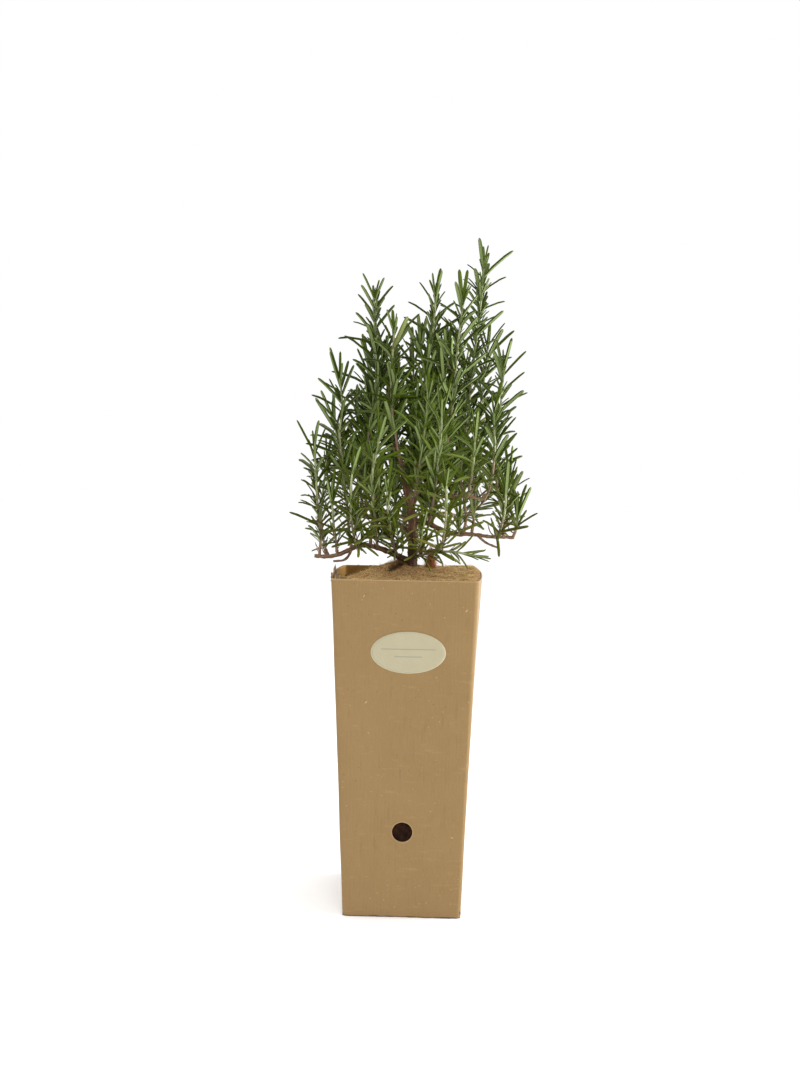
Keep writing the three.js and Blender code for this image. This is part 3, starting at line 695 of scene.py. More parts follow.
def torn_ear():
    """The torn shreds of board that stand up at the front left corner."""
    shreds = [  # left and right of the foot, tip, height, where it stands and how far it leans, in mm
        (-70.6, -64.6, -66.7, 14.8, -69.4, 1.6),
        (-67.6, -63.4, -63.9, 8.6, -68.9, 2.8),
        (-65.4, -60.8, -62.2, 4.2, -69.3, 1.0),
        (-70.8, -68.0, -70.6, 7.4, -68.4, 0.6),
        (-69.6, -66.0, -68.8, 6.2, -67.2, 1.9),
    ]
    points, faces = [], []
    rows, low = 9, 331
    for left, right, tip, rise, stand, lean in shreds:
        start = len(points)
        for depth in (0, 0.3):
            for row in range(rows + 1):
                share = row / rows
                narrow = (1 - share ** 1.5) * (1 + 0.3 * math.sin(share * 17 + left * 3))
                middle = (left + right) / 2 * (1 - share) + tip * share
                for sign in (-1, 1):
                    x = middle + sign * (right - left) / 2 * narrow
                    y = stand + depth + lean * share ** 2 + 0.25 * math.sin(share * 9 + sign)
                    points.append(Vector((x, y, low + (rise + 2) * share)) * MM)
        count = (rows + 1) * 2
        front = [(start + 2 * r, start + 2 * r + 1, start + 2 * r + 3, start + 2 * r + 2)
                 for r in range(rows)]
        sides = []
        for here in range(start, start + 2 * rows, 2):
            after = here + 2
            sides += [(here, after, after + count, here + count),
                      (after + 1, here + 1, here + 1 + count, after + 1 + count)]
        ends = [(start + 1, start, start + count, start + 1 + count),
                (start + 2 * rows, start + 2 * rows + 1, start + 2 * rows + 1 + count,
                 start + 2 * rows + count)]
        faces += front + turned_over(front, count) + sides + ends
    return plain_mesh("ear", points, faces)


def kraft_material(name, pot, shade=(1, 1, 1), sheen=0.25):
    """Kraft liner: mottled brown, faintly ribbed by the flutes, pale at cut edges, dark brown along the very
    foot.
    """
    kraft = Shader(name, Specular_IOR_Level=0.15, Sheen_Weight=sheen, Sheen_Roughness=0.4)
    base = tuple(c * s for c, s in zip(pot.kraft, shade))
    paler, darker = tone(base, 1.35), tone(base, 0.68)
    x, y, z = kraft.axes(kraft.place())
    cloud = kraft.smooth(kraft.noise(0.045, detail=4), 0.3, 0.7)
    level = kraft.smooth(kraft.noise(0.0035, (0.2, 0.2, 1), detail=2), 0.58, 0.8)
    upright = kraft.smooth(kraft.noise(0.0035, (1, 1, 0.16), detail=2), 0.56, 0.8)
    grain = kraft.noise(0.0016, detail=3, roughness=0.7)
    front = kraft.math("ABSOLUTE", y) > kraft.math("ABSOLUTE", x)
    rib = kraft.math("SINE", kraft.blend(front, y, x) * (2 * math.pi / pot.flute_pitch)) * 0.5 + 0.5
    cut = kraft.smooth(z, pot.height - 0.0012, pot.height - 0.0003)
    for across in (x, y):
        off = ((across ** 2 + (z - pot.vent_height) ** 2) ** 0.5) - pot.vent_diameter / 2
        punched = 1 - kraft.smooth(kraft.math("ABSOLUTE", off), 0.0002, 0.0011)
        cut = kraft.math("MAXIMUM", cut, punched)
    # painted shade on the torn shreds above the rim, mottled with paler torn fibre
    torn_shade = kraft.mix(kraft.smooth(kraft.noise(0.0018, (1, 1, 0.3)), 0.35, 0.65), srgb(76, 58, 42),
                     srgb(142, 118, 88))
    # dark brown along the very foot
    foot = 1 - kraft.smooth(z + (kraft.noise(0.009) - 0.5) * 0.0026, 0.0006, 0.0018)
    board = kraft.layers(
        base,
        (cloud * 0.42, tone(base, 0.88)),
        (level * 0.4, paler),
        (upright * 0.3, darker),
        (kraft.smooth(grain, 0.55, 0.78) * 0.32, paler),
        ((1 - kraft.smooth(grain, 0.24, 0.44)) * 0.3, darker),
        (kraft.speckle(0.0010, 0.09) * 0.7, srgb(104, 78, 48)),
        (kraft.speckle(0.0012, 0.10) * 0.3, srgb(208, 184, 140)),
        (kraft.speckle(0.0010, 0.012, (1, 1, 0.26), -0.7) * 0.6, srgb(212, 188, 144)),
        (kraft.speckle(0.0010, 0.007, (1, 1, 0.26), 1.15) * 0.6, srgb(212, 188, 144)),
        (rib * 0.026, darker),
        (cut * 0.32, srgb(200, 172, 128)),
        # above the rim: the torn shreds in painted shade
        (kraft.smooth(z, pot.height + 0.0003, pot.height + 0.001), torn_shade),
        (foot * 0.85, srgb(62, 42, 24)))
    relief = kraft.noise(0.0006, detail=2) * 0.35 + rib * 0.4 + kraft.noise(0.004) * 0.4
    return kraft.finished(board, relief, 0.00012, kraft.blend(cloud, 0.8, 0.92))


class ROSEMARY_OT_pot(bpy.types.Operator):
    """Builds the pot: two liners, the fluting between them, the bottom flaps and a torn ear"""

    bl_idname = "rosemary.pot"
    bl_label = "Board pot"

    def execute(self, context):
        pot = context.scene.rosemary_pot
        form = BoardForm(pot)
        kraft = kraft_material("kraft_board", pot)
        # the inner liner gets a warmer, more saturated copy of the kraft without sheen: painted shade for the
        # pot's inside
        inner_kraft = kraft_material("damp_kraft", pot, (1.2, 1.0, 0.58), 0.0)
        levels = [pot.height * i / 36 for i in range(37)]
        places = form.stations(28, 7)
        rings = []
        for name, inset, wobble, material in (("outer_liner", 0, 0.0005, kraft),
                                              ("inner_liner", pot.board - pot.liner, 0.0006, inner_kraft)):
            rings.append(board_ring(form, name, lambda i: inset, pot.liner, places, levels, wobble))
            rings[-1].materials.append(material)
        outer, inner = form.half_at(0) - 0.0022, form.half_at(0) - 0.0024
        seam_low, seam_high, play = 0.0206, 0.0216, 0.0002
        flaps = [flap(form, "front_flap", -outer, seam_low, 0, pot.board),
                 flap(form, "rear_flap", seam_high, outer, 0, pot.board),
                 flap(form, "inner_flaps", -inner, inner, pot.board + play, pot.board - play)]
        ear = torn_ear()
        for part in (*flaps, ear):
            part.materials.append(kraft)
        liners = merged("board_liners", [with_vents(merged("liner_rings", rings), pot), *flaps, ear])
        smooth_shaded(liners).set_sharp_from_angle(angle=math.radians(28))
        show("board_liners", liners, "kraft_board", "cardboard_pot")

        per_flute, medium_thickness = 6, 0.0002
        flutes = round(2 * form.half_at(pot.height * 0.5) / pot.flute_pitch)
        places = form.stations(flutes * per_flute, per_flute)
        middle, swing = pot.board / 2, pot.board / 2 - pot.liner - 0.00016
        medium = board_ring(
            form, "fluting",
            lambda i: middle - medium_thickness / 2 + swing * math.sin(2 * math.pi * i / per_flute),
            medium_thickness, places, [pot.height * i / 9 for i in range(10)], 0.0009)
        medium = smooth_shaded(with_vents(medium, pot))
        medium.set_sharp_from_angle(angle=math.radians(50))
        medium.materials.clear()
        medium.materials.append(kraft)
        show("board_fluting", medium, "kraft_board", "cardboard_pot")
        return {"FINISHED"}


# ------------------------------------------------------------------ the label


def label_material(pot):
    """Unbleached label paper with a painted highlight round its edge and two plain ruled lines."""
    paper = Shader("label_paper", Roughness=0.62, Sheen_Weight=0.05)
    base = tuple(pot.paper)
    across, up, rim = (paper.attribute("label_" + part) for part in ("across", "up", "rim"))
    lines = []
    for height, reach in ((0.16, 0.72), (-0.2, 0.36)):
        on_line = 1 - paper.smooth(paper.math("ABSOLUTE", up - height), 0.014, 0.030)
        lines.append(on_line * (1 - paper.smooth(paper.math("ABSOLUTE", across), reach, reach + 0.01)))
    sheet = paper.layers(
        base,
        (paper.smooth(paper.noise(0.012), 0.3, 0.7) * 0.5, tone(base, 0.93)),
        (paper.smooth(paper.noise(0.0016, (0.3, 1, 1), detail=2), 0.6, 0.8) * 0.25, tone(base, 0.8)),
        (paper.math("MAXIMUM", *lines) * 0.6, srgb(112, 116, 108)),
        # painted highlight round the label's edge
        (paper.smooth(rim, 0.96, 0.99) * 0.35, srgb(214, 208, 176)))
    return paper.finished(sheet, paper.noise(0.0008, detail=2), 0.00006,
                          paper.blend(paper.noise(0.003), 0.55, 0.7))


class ROSEMARY_OT_label(bpy.types.Operator):
    """Builds the oval paper label on the front panel"""

    bl_idname = "rosemary.label"
    bl_label = "Label"

    def execute(self, context):
        pot = context.scene.rosemary_pot
        form = BoardForm(pot)
        middle = (LABEL_LOW + LABEL_HIGH) / 2
        size = (LABEL_HIGH - LABEL_LOW) / 2
        rings, sides = 10, 96
        points, across, up, rim = [], [], [], []
        for depth in (0.00034, 0.00012):
            for ring in range(rings + 1):
                share = ring / rings
                for side in range(sides):
                    angle = 2 * math.pi * side / sides
                    u, v = share * math.cos(angle), share * math.sin(angle)
                    x, z = middle.x + u * size.x, middle.z + v * size.z
                    y = -form.half_at(z) - depth - 0.0001
                    y -= form.dent(Vector((x, y, z)))
                    points.append((x, y, z))
                    across.append(u)
                    up.append(v)
                    rim.append(share)
        count = (rings + 1) * sides
        front = grid_faces(rings + 1, sides, True)
        last = rings * sides
        wall = [(last + c, last + count + c, last + count + (c + 1) % sides, last + (c + 1) % sides)
                for c in range(sides)]
        mesh = plain_mesh("paper_label", points, front + turned_over(front, count) + wall)
        for name, values in (("label_across", across), ("label_up", up), ("label_rim", rim)):
            add_attribute(mesh, name, values)
        clean = bmesh.new()
        clean.from_mesh(mesh)
        bmesh.ops.remove_doubles(clean, verts=clean.verts, dist=1e-6)
        bmesh.ops.recalc_face_normals(clean, faces=clean.faces)
        clean.to_mesh(mesh)
        clean.free()
        mesh.materials.append(label_material(pot))
        show("paper_label", smooth_shaded(mesh), "label_paper", "oval_label")
        return {"FINISHED"}


# ------------------------------------------------------------------ compost and coir mat


def smoothstep(value, low, high):
    share = min(max((value - low) / (high - low), 0), 1)
    return share * share * (3 - 2 * share)


def in_slit(x, y):
    """How far a place lies along and beside the open part of the mat's slit, from its middle."""
    x, y = x + 0.011, y + 0.011
    return x * 0.555 + y * 0.832, y * 0.555 - x * 0.832


def bell(distance, width):
    return math.exp(-((distance / width) ** 2))


class MatForm:
    """The mat's outline and surface, as in the solid, in metres."""

    reach = 0.0665
    trunk_x = 0.005

    def __init__(self, ground, pot):
        self.ground = ground
        self.board = BoardForm(pot)

    def slit(self, y):
        """The slit's edge: from the front left corner back past the trunk."""
        return -self.reach + (self.reach - 0.009) * smoothstep(y, -self.reach, 0.014)

    def right(self, y):
        inside = self.board.half_at(self.ground.mat_edge) - self.board.pot.board
        return inside + self.board.pot.bulge * (1 - (y / inside) ** 2) - 0.0002

    def top(self, x, y):
        ground = self.ground
        at_trunk = ground.mound * bell(math.hypot(x - self.trunk_x, y), 0.038)
        at_rear = 0.0022 * smoothstep(x, 0.005, 0.045) * smoothstep(y, -0.02, 0.05)
        at_rear += 0.0012 * smoothstep(x, 0.035, 0.065)
        raised = smoothstep(y, -0.062, -0.008) - smoothstep(y, 0.020, 0.056)
        from_edge = x - self.slit(y)
        ridge = ground.ridge * raised * bell(from_edge, 0.016)
        along, across = in_slit(x, y)
        hollow = 0.006 * bell(along, 0.013) * bell(across, 0.0038)
        lumps = 0.0009 * mound_noise(x, y, 0.1, 0.017) + 0.0005 * mound_noise(x, y, 0.7, 0.006)
        inside = min(max((self.reach - max(abs(x), abs(y))) / 0.012, 0), 1)
        fray = 0.0012 * smoothstep(-from_edge, -0.004, 0.0)
        return (ground.mat_edge + at_trunk + at_rear + ridge - hollow - fray
                + lumps * (0.3 + 0.7 * inside))


def mat_surface(form, columns=120, rows=110):
    """The mat as a closed body: a fine surface over a flat underside."""
    points = []
    for row in range(rows + 1):
        y = form.reach * (-1 + 2 * row / rows)
        left, right = form.slit(y), form.right(y)
        for column in range(columns + 1):
            x = left + (right - left) * column / columns
            ragged = 0.0012 * mound_noise(y, 0.3, 0.9, 0.004) if column == 0 else 0
            points.append((x + ragged, y, form.top(x, y)))
    upper = grid_faces(rows + 1, columns + 1)
    edge = grid_edge(rows, columns)
    start, count = len(points), len(edge)
    points += [(points[i][0], points[i][1], MAT_LOW.z) for i in edge]
    skirt = [(edge[(i + 1) % count], edge[i], start + i, start + (i + 1) % count) for i in range(count)]
    under = [tuple(reversed(range(start, start + count)))]
    return plain_mesh("coir_mat", points, upper + skirt + under)


def coir_material(name, base, rusty=0.2):
    """Coconut fibre: straw strands, each of its own tint, rusty and gritty in front of the trunk."""
    coir = Shader(name, Roughness=0.9, Specular_IOR_Level=0.15)
    x, y, _ = coir.axes(coir.place())
    from_middle = ((x - 0.014) ** 2 + (y + 0.028) ** 2) ** 0.5
    near = 1 - coir.smooth(from_middle + (coir.noise(0.012) - 0.5) * 0.03, 0.016, 0.060)
    along, across = in_slit(x, y)
    # painted shadow in the hollow where the mat's slit opens beside the ridge
    slit_shadow = (((along / 0.015) ** 2 + (across / 0.0042) ** 2) ** 0.5) + (coir.noise(0.004) - 0.5) * 0.9
    fibre = coir.layers(
        coir.mix(coir.attribute("tint"), tone(base, 0.5), tuple(min(c * 1.6, 1) for c in base)),
        (coir.smooth(coir.noise(0.0018, detail=4), 0.36, 0.62) * (near * 0.5 + rusty), srgb(132, 80, 42)),
        ((1 - coir.smooth(slit_shadow, 0.5, 1.3)) * 0.92, srgb(58, 36, 15)),
        (coir.speckle(0.0014, 0.10) * (near * 0.5 + 0.25), srgb(66, 42, 24)))
    relief = coir.noise(0.0012, (1, 0.3, 1), detail=4) + coir.noise(0.001, (0.3, 1, 1), detail=4)
    return coir.finished(fibre, relief, 0.0005)


def strand_mesh(index, length, thickness):
    """A curved three-sided strand that starts at the origin and runs along X."""
    drawn = random.Random(300 + index)
    bend = drawn.uniform(-1.6, 1.6)
    lift = drawn.uniform(0.05, 0.4)
    segments = 4
    spine = [Vector((0, 0, 0))]
    for i in range(segments):
        angle = bend * i / segments
        rise = lift * (1 - 2.2 * i / segments)
        spine.append(spine[-1] + Vector((math.cos(angle), math.sin(angle), rise)) * (length / segments))
    points = []
    for i, middle in enumerate(spine):
        ahead = (spine[min(i + 1, segments)] - spine[max(i - 1, 0)]).normalized()
        side = ahead.cross(Vector((0, 0, 1))).normalized()
        up = side.cross(ahead)
        radius = thickness / 2 * (1 - 0.6 * i / segments)
        points += [middle + (side * math.cos(a) + up * math.sin(a)) * radius
                   for a in (0, 2.094, 4.189)]
    faces = grid_faces(segments + 1, 3, True)
    faces += [(2, 1, 0), tuple(segments * 3 + i for i in range(3))]
    return smooth_shaded(plain_mesh(f"strand_{index}", points, faces))


def tuft_core():
    """The upright tuft of fibre right of the trunk, as a leaning cone."""
    foot, top, radius, sides, rings = Vector((0.0226, 0.012, 0.334)), 0.0235, 0.0040, 18, 10
    points = []
    for ring in range(rings + 1):
        share = ring / rings
        centre = foot + Vector((0.0012 * share, 0, top * share))
        wide = radius * (1 - share ** 2.2) + 0.0003
        for side in range(sides):
            angle = 2 * math.pi * side / sides
            uneven = 1 + 0.25 * noise.noise(Vector((angle * 0.8, share * 3, 4.4)))
            points.append(centre + Vector((math.cos(angle), math.sin(angle), 0)) * wide * uneven)
    faces = grid_faces(rings + 1, sides, True)
    faces += [tuple(reversed(range(sides))), tuple(rings * sides + i for i in range(sides))]
    return plain_mesh("coir_tuft_core", points, faces)


def lump_mesh(index):
    """A rough crumb a few millimetres across."""
    lump = bmesh.new()
    bmesh.ops.create_icosphere(lump, subdivisions=1, radius=1)
    for vertex in lump.verts:
        vertex.co *= 1 + 0.5 * noise.noise(vertex.co * 1.3 + Vector((index * 5.1, 0, 0)))
        vertex.co.z *= 0.75
    mesh = bpy.data.meshes.new(f"crumb_{index}")
    lump.to_mesh(mesh)
    lump.free()
    return mesh


def variant_collection(name, meshes):
    """A collection of shapes for a tree to pick from; `discard` removes it again."""
    collection = bpy.data.collections.new(name)
    bpy.context.scene.collection.children.link(collection)
    for mesh in meshes:
        collection.objects.link(bpy.data.objects.new(mesh.name, mesh))
    return collection


def discard(collection):
    for each in list(collection.objects):
        bpy.data.objects.remove(each)
    bpy.data.collections.remove(collection)


def scatter_tree():
    """Scatters picked shapes over a surface, laid along it and turned at random."""
    tree = GeometryGraph("scatter_on_surface", Shapes="Collection", Density="Float", Smallest="Float",
                         Largest="Float", Tilt="Float", Material="Material")
    points, upright = tree.fields(("Points", "Rotation"), "GeometryNodeDistributePointsOnFaces", {
        "Mesh": tree.given("Geometry"), "Density": tree.given("Density"), "Seed": tree.given("Seed")})
    points = tree.store(points, "tint", tree.random(0.0, 1.0))
    tilt = tree.given("Tilt")
    turn = tree.vector(tree.random(-1.0, 1.0) * tilt, tree.random(-1.0, 1.0) * tilt,
                       tree.random(0.0, 2 * math.pi))
    size = tree.blend(tree.random(0.0, 1.0), tree.given("Smallest"), tree.given("Largest"))
    placed = tree.field("GeometryNodeInstanceOnPoints", {
        "Points": points, "Instance": tree.shapes("Shapes"), "Pick Instance": True,
        "Instance Index": tree.random(0, SHAPE_COUNT - 1, "INT"), "Rotation": tree.turned(upright, turn),
        "Scale": size})
    return tree.end(placed, {"Material": None})


def compost_surface(form, columns=90, rows=90, levels=24):
    """The compost: a lumpy top on straight sides that follow the board's inside."""
    board, top = form.board, COMPOST_HIGH.z

    def half_at(z):
        return board.half_at(z) - board.pot.board - 0.0003

    points = []
    for row in range(rows + 1):
        for column in range(columns + 1):
            u, v = -1 + 2 * column / columns, -1 + 2 * row / rows
            x, y = u * half_at(top), v * half_at(top)
            x *= 1 + board.bulge_at(top) * (1 - v ** 2) / half_at(top)
            rough = 0.0016 * mound_noise(x, y, 0.2, 0.009) + 0.001 * mound_noise(x, y, 0.5, 0.0035)
            sink = 0.0015 * smoothstep(-x, 0.0, 0.05) * smoothstep(y, 0.0, 0.05)
            points.append((x, y, top - 0.0012 + rough - sink))
    edge = grid_edge(rows, columns)
    faces = grid_faces(rows + 1, columns + 1)
    count, below = len(edge), edge
    for level in range(1, levels + 1):
        z = top + (COMPOST_LOW.z - top) * level / levels
        start, half = len(points), half_at(z)
        for i in edge:
            u, v = -1 + 2 * (i % (columns + 1)) / columns, points[i][1] / half_at(top)
            swell = 1 + board.bulge_at(z) * (1 - v ** 2) / half
            grain = 1 - 0.004 * abs(mound_noise(u * half, v * half, z, 0.006))
            points.append((u * half * swell * grain, v * half * grain, z))
        here = list(range(start, start + count))
        faces += [(below[(i + 1) % count], below[i], here[i], here[(i + 1) % count]) for i in range(count)]
        below = here
    faces.append(tuple(reversed(below)))
    return plain_mesh("compost", points, faces)


def compost_material(ground):
    """Moist dark compost with paler bits of bark and fibre."""
    soil = Shader("moist_compost", Roughness=0.85, Specular_IOR_Level=0.08)
    base = tuple(ground.compost)
    clod = soil.smooth(soil.noise(0.004, detail=5), 0.35, 0.7)
    crumb = soil.layers(
        soil.mix(clod, tone(base, 0.45), tone(base, 1.5)),
        (soil.speckle(0.0018, 0.09) * 0.8, srgb(120, 88, 54)),
        (soil.attribute("tint") * 0.35, srgb(92, 64, 38)))
    return soil.finished(crumb, soil.noise(0.0016, detail=5), 0.0012,
                         soil.blend(soil.noise(0.003), 0.5, 0.98))


class ROSEMARY_OT_ground(bpy.types.Operator):
    """Builds the compost with its crumbs, and the coir mat with its loose fibres"""

    bl_idname = "rosemary.ground"
    bl_label = "Compost and mat"

    def execute(self, context):
        ground = context.scene.rosemary_ground
        form = MatForm(ground, context.scene.rosemary_pot)
        scatter = scatter_tree()
        corner, middle, whole, tuft = 0.0045, 0.0125, 0.0165, 0.00035  # square metres to scatter over

        def scattered(name, surface, area, shapes, amount, smallest, largest, tilt, seed, material, kind):
            """Shapes scattered over a surface of about this area, as a piece of a kind of filling."""
            show(name, scatter.grow(surface, name, Shapes=shapes, Density=amount / area, Smallest=smallest,
                                    Largest=largest, Tilt=tilt, Seed=seed, Material=material), *kind)

        soil = compost_material(ground)
        body = compost_surface(form)
        body.materials.append(soil)
        show("compost_body", smooth_shaded(body), *COMPOST)
        crumbs = variant_collection("crumbs", [lump_mesh(i) for i in range(SHAPE_COUNT)])
        scattered("compost_crumbs", self.compost_top(form), corner, crumbs, ground.crumbs, 0.0006, 0.0022,
                  0.6, 5, soil, COMPOST)

        coir = coir_material("coir_fibre", tuple(ground.coir))
        mat = mat_surface(form)
        mat.materials.append(coir)
        open_top, whole_top = (self.inner_top(mat.copy(), form, clear) for clear in (0.006, 0.0012))
        show("coir_mat_body", smooth_shaded(mat), *MAT)
        strands = variant_collection("strands", [
            strand_mesh(i, ground.fibre_length * (0.55 + 0.08 * i), ground.fibre_thickness)
            for i in range(SHAPE_COUNT)])
        scattered("coir_mat_fibres", open_top, middle, strands, ground.fibres, 0.5, 1.15, 0.16, 9, coir, MAT)
        scattered("coir_mat_fuzz", whole_top, whole, strands, ground.fuzz, 0.12, 0.32, 0.6, 11, coir, MAT)
        bits = variant_collection("bits", [lump_mesh(i + 40) for i in range(SHAPE_COUNT)])
        rust = coir_material("coir_dust", srgb(112, 70, 40))
        scattered("coir_mat_dust", open_top, middle, bits, ground.dust, 0.0003, 0.0010, 0.8, 14, rust, MAT)
        russet = coir_material("coir_tuft", srgb(188, 128, 80))
        scattered("coir_tuft", tuft_core(), tuft, strands, ground.tuft_fibres, 0.5, 0.9, 0.5, 21, russet, MAT)
        core = tuft_core()
        core.materials.append(russet)
        show("coir_tuft_core", smooth_shaded(core), *MAT)
        for shapes in (crumbs, strands, bits):
            discard(shapes)
        return {"FINISHED"}

    @staticmethod
    def inner_top(mesh, form, clear):
        """The upward faces of the mat that lie this far clear of the board."""
        body = bmesh.new()
        body.from_mesh(mesh)
        outer = []
        for face in body.faces:
            here = face.calc_center_median()
            near = max(abs(here.y) - form.reach, here.x - form.right(here.y)) > -clear
            if face.normal.z < 0.25 or near:
                outer.append(face)
        bmesh.ops.delete(body, geom=outer, context="FACES")
        body.to_mesh(mesh)
        body.free()
        return mesh

    @staticmethod
    def compost_top(form):
        """The patch of compost that the mat leaves bare at the left rear."""
        half = 0.066
        points, columns, rows = [], 30, 30
        for row in range(rows + 1):
            y = -0.045 + (half + 0.045) * row / rows
            for column in range(columns + 1):
                x = -half + (form.slit(y) + 0.003 + half) * column / columns
                points.append((x, y, COMPOST_HIGH.z - 0.0018))
        return plain_mesh("bare_compost", points, grid_faces(rows + 1, columns + 1))


# ------------------------------------------------------------------ routes


def curve_points(route, fine=10):
    """A smooth curve through the route's points, as a dense list of points."""
    places = [Vector(p) for p in route]
    ghosts = [places[0] * 2 - places[1], *places, places[-1] * 2 - places[-2]]
    dense = []
    for i in range(len(places) - 1):
        p0, p1, p2, p3 = ghosts[i:i + 4]
        d0, d1, d2 = ((b - a).length ** 0.5 for a, b in ((p0, p1), (p1, p2), (p2, p3)))
        t1 = ((p1 - p0) / d0 - (p2 - p0) / (d0 + d1) + (p2 - p1) / d1) * d1
        t2 = ((p2 - p1) / d1 - (p3 - p1) / (d1 + d2) + (p3 - p2) / d2) * d1
        for step in range(fine):
            t = step / fine
            dense.append(p1 + t1 * t + (p2 * 3 - p1 * 3 - t1 * 2 - t2) * t ** 2
                         + (p1 * 2 - p2 * 2 + t1 + t2) * t ** 3)
    return [*dense, places[-1]]


def length_of(points):
    return sum((b - a).length for a, b in zip(points, points[1:]))


def stretch(points, start, end, step):
    """Evenly spaced points between two lengths along a dense line, or up to one before its end."""
    runs = [0.0]
    for a, b in zip(points, points[1:]):
        runs.append(runs[-1] + (b - a).length)
    end = end if end > 0 else runs[-1] + end
    count = max(2, math.ceil((end - start) / step))
    at = [start + (end - start) * i / count for i in range(count + 1)]
    return [Vector(tuple(np.interp(at[i], runs, [p[axis] for p in points]) for axis in range(3)))
            for i in range(count + 1)]


def route_mesh(name, lines, radii=None):
    """Open lines as one mesh of edges, in metres, with a radius at each point."""
    points, edges, widths = [], [], []
    for number, line in enumerate(lines):
        start = len(points)
        points += [p * MM for p in line]
        edges += [(start + i, start + i + 1) for i in range(len(line) - 1)]
        if radii:
            first, last = radii[number]
            widths += [(first + (last - first) * i / (len(line) - 1)) * MM for i in range(len(line))]
    mesh = bpy.data.meshes.new(name)
    mesh.from_pydata(points, edges, [])
    if radii:
        add_attribute(mesh, "limb_radius", widths)
    return mesh


# ------------------------------------------------------------------ the woody frame


def bark_tree():
    """Turns lines with a radius into limbs whose bark is ridged along them."""
    tree = GeometryGraph("barked_limbs", Sides="Int", Bark_Depth="Float", Material="Material")
    lines = tree.field("GeometryNodeMeshToCurve", {"Mesh": tree.given("Geometry")})
    lines = tree.store(lines, "run", tree.field("GeometryNodeSplineParameter", output="Length"))
    tubes = tree.tubes(lines, tree.given("Sides"), tree.named("limb_radius"), turn="turn")
    angle = tree.named("turn") * (2 * math.pi)
    place = tree.vector(tree.math("COSINE", angle) * 2.2, tree.math("SINE", angle) * 2.2,
                        tree.named("run") * 55)
    grain = tree.field("ShaderNodeTexNoise", {"Vector": place, "Scale": 1.6, "Detail": 3.0})
    knots = tree.field("ShaderNodeTexNoise", {
        "Vector": tree.field("GeometryNodeInputPosition"), "Scale": 130.0, "Detail": 2.0})
    tubes = tree.store(tubes, "bark", grain)
    depth = tree.given("Bark Depth") * (tree.named("limb_radius") * 220 + 0.5)
    joints = tree.math("ABSOLUTE", tree.math("SINE", tree.named("run") * 390 + knots * 5)) ** 9
    push = ((grain - 0.5) * 1.7 + (knots - 0.5) * 2.2 + joints * 0.8) * depth
    tubes = tree.field("GeometryNodeSetPosition", {
        "Geometry": tubes, "Offset": tree.field("GeometryNodeInputNormal") * push})
    return tree.end(tubes, {"Material": None})


def bark_material(plant):
    """Grey-brown bark, split along the limb, with paler flaking strips."""
    bark = Shader("rosemary_bark", Roughness=0.85, Specular_IOR_Level=0.3)
    base = tuple(plant.bark)
    ridge = bark.smooth(bark.attribute("bark"), 0.36, 0.64)
    old = bark.layers(
        bark.mix(ridge, tone(base, 0.38), tone(base, 1.25)),
        (bark.smooth(bark.noise(0.004, (1, 1, 0.25), detail=4), 0.55, 0.7) * 0.65, srgb(150, 122, 92)),
        (bark.smooth(bark.noise(0.012), 0.5, 0.8) * 0.5, srgb(84, 56, 38)))
    young = bark.mix(ridge, srgb(98, 72, 54), srgb(152, 124, 100))
    grown = bark.mix(bark.smooth(bark.attribute("limb_radius"), 0.0014, 0.0028), young, old)
    # darker brown near where the trunk enters the mat
    dark_near_trunk_foot = 1 - bark.smooth(bark.distance(bark.place(), (0.004, 0, 0.340)), 0.012, 0.042)
    return bark.finished(bark.mix(dark_near_trunk_foot * 0.75, grown, srgb(52, 32, 22)),
                         bark.noise(0.0012, (1, 1, 0.3), detail=5), 0.0006)


def dry_twigs(line, seed):
    """Thin leafless side twigs on the bare foot of a shoot."""
    drawn = random.Random(900 + seed)
    twigs = []
    for _ in range(drawn.randint(1, 3)):
        foot, turn = line[drawn.randrange(2, len(line) - 1)], drawn.uniform(0, 2 * math.pi)
        half_length, rise = drawn.uniform(3, 7.5), drawn.uniform(0.3, 1.0)
        ahead = Vector((math.cos(turn), math.sin(turn), rise)).normalized() * half_length
        bent = Vector((ahead.x * 0.6, ahead.y * 0.6, ahead.z + half_length * 0.5))
        twigs.append(stretch(curve_points([foot, foot + ahead, foot + ahead + bent]), 0, 0, 2))
    return twigs


class ROSEMARY_OT_wood(bpy.types.Operator):
    """Builds the trunk, the arms and the bare twigs"""

    bl_idname = "rosemary.wood"
    bl_label = "Trunk and branches"

    def execute(self, context):
        plant = context.scene.rosemary_plant
        bark = bark_material(plant)
        tree = bark_tree()
        stout, slender, stout_from = [], [], 2.5
        for limb in LIMBS:
            line = stretch(curve_points(limb["route"]), 0, 0, 1.2)
            (stout if limb["radii"][0] > stout_from else slender).append((line, limb["radii"]))
        foot = plant.stem_radius / MM
        for number, shoot in enumerate(SHOOTS):
            bare = stretch(curve_points(shoot["route"]), 0, shoot["bare"], 1.2)
            slender.append((bare, (foot * 1.25, foot)))
            slender += [(twig, (0.55, 0.3)) for twig in dry_twigs(bare, number)]
        meshes = [
            tree.grow(route_mesh(name, *zip(*limbs)), name + "_limbs", Sides=sides,
                      Bark_Depth=plant.bark_depth * depth, Seed=seed, Material=bark)
            for name, limbs, sides, depth, seed in (("stout", stout, 40, 1.0, 1),
                                                    ("slender", slender, 16, 0.7, 2))]
        mesh = smooth_shaded(merged("trunk_and_branches", meshes))
        show("woody_frame", mesh, "bark", "trunk_and_branches")
        return {"FINISHED"}


# ------------------------------------------------------------------ the leafy shoots


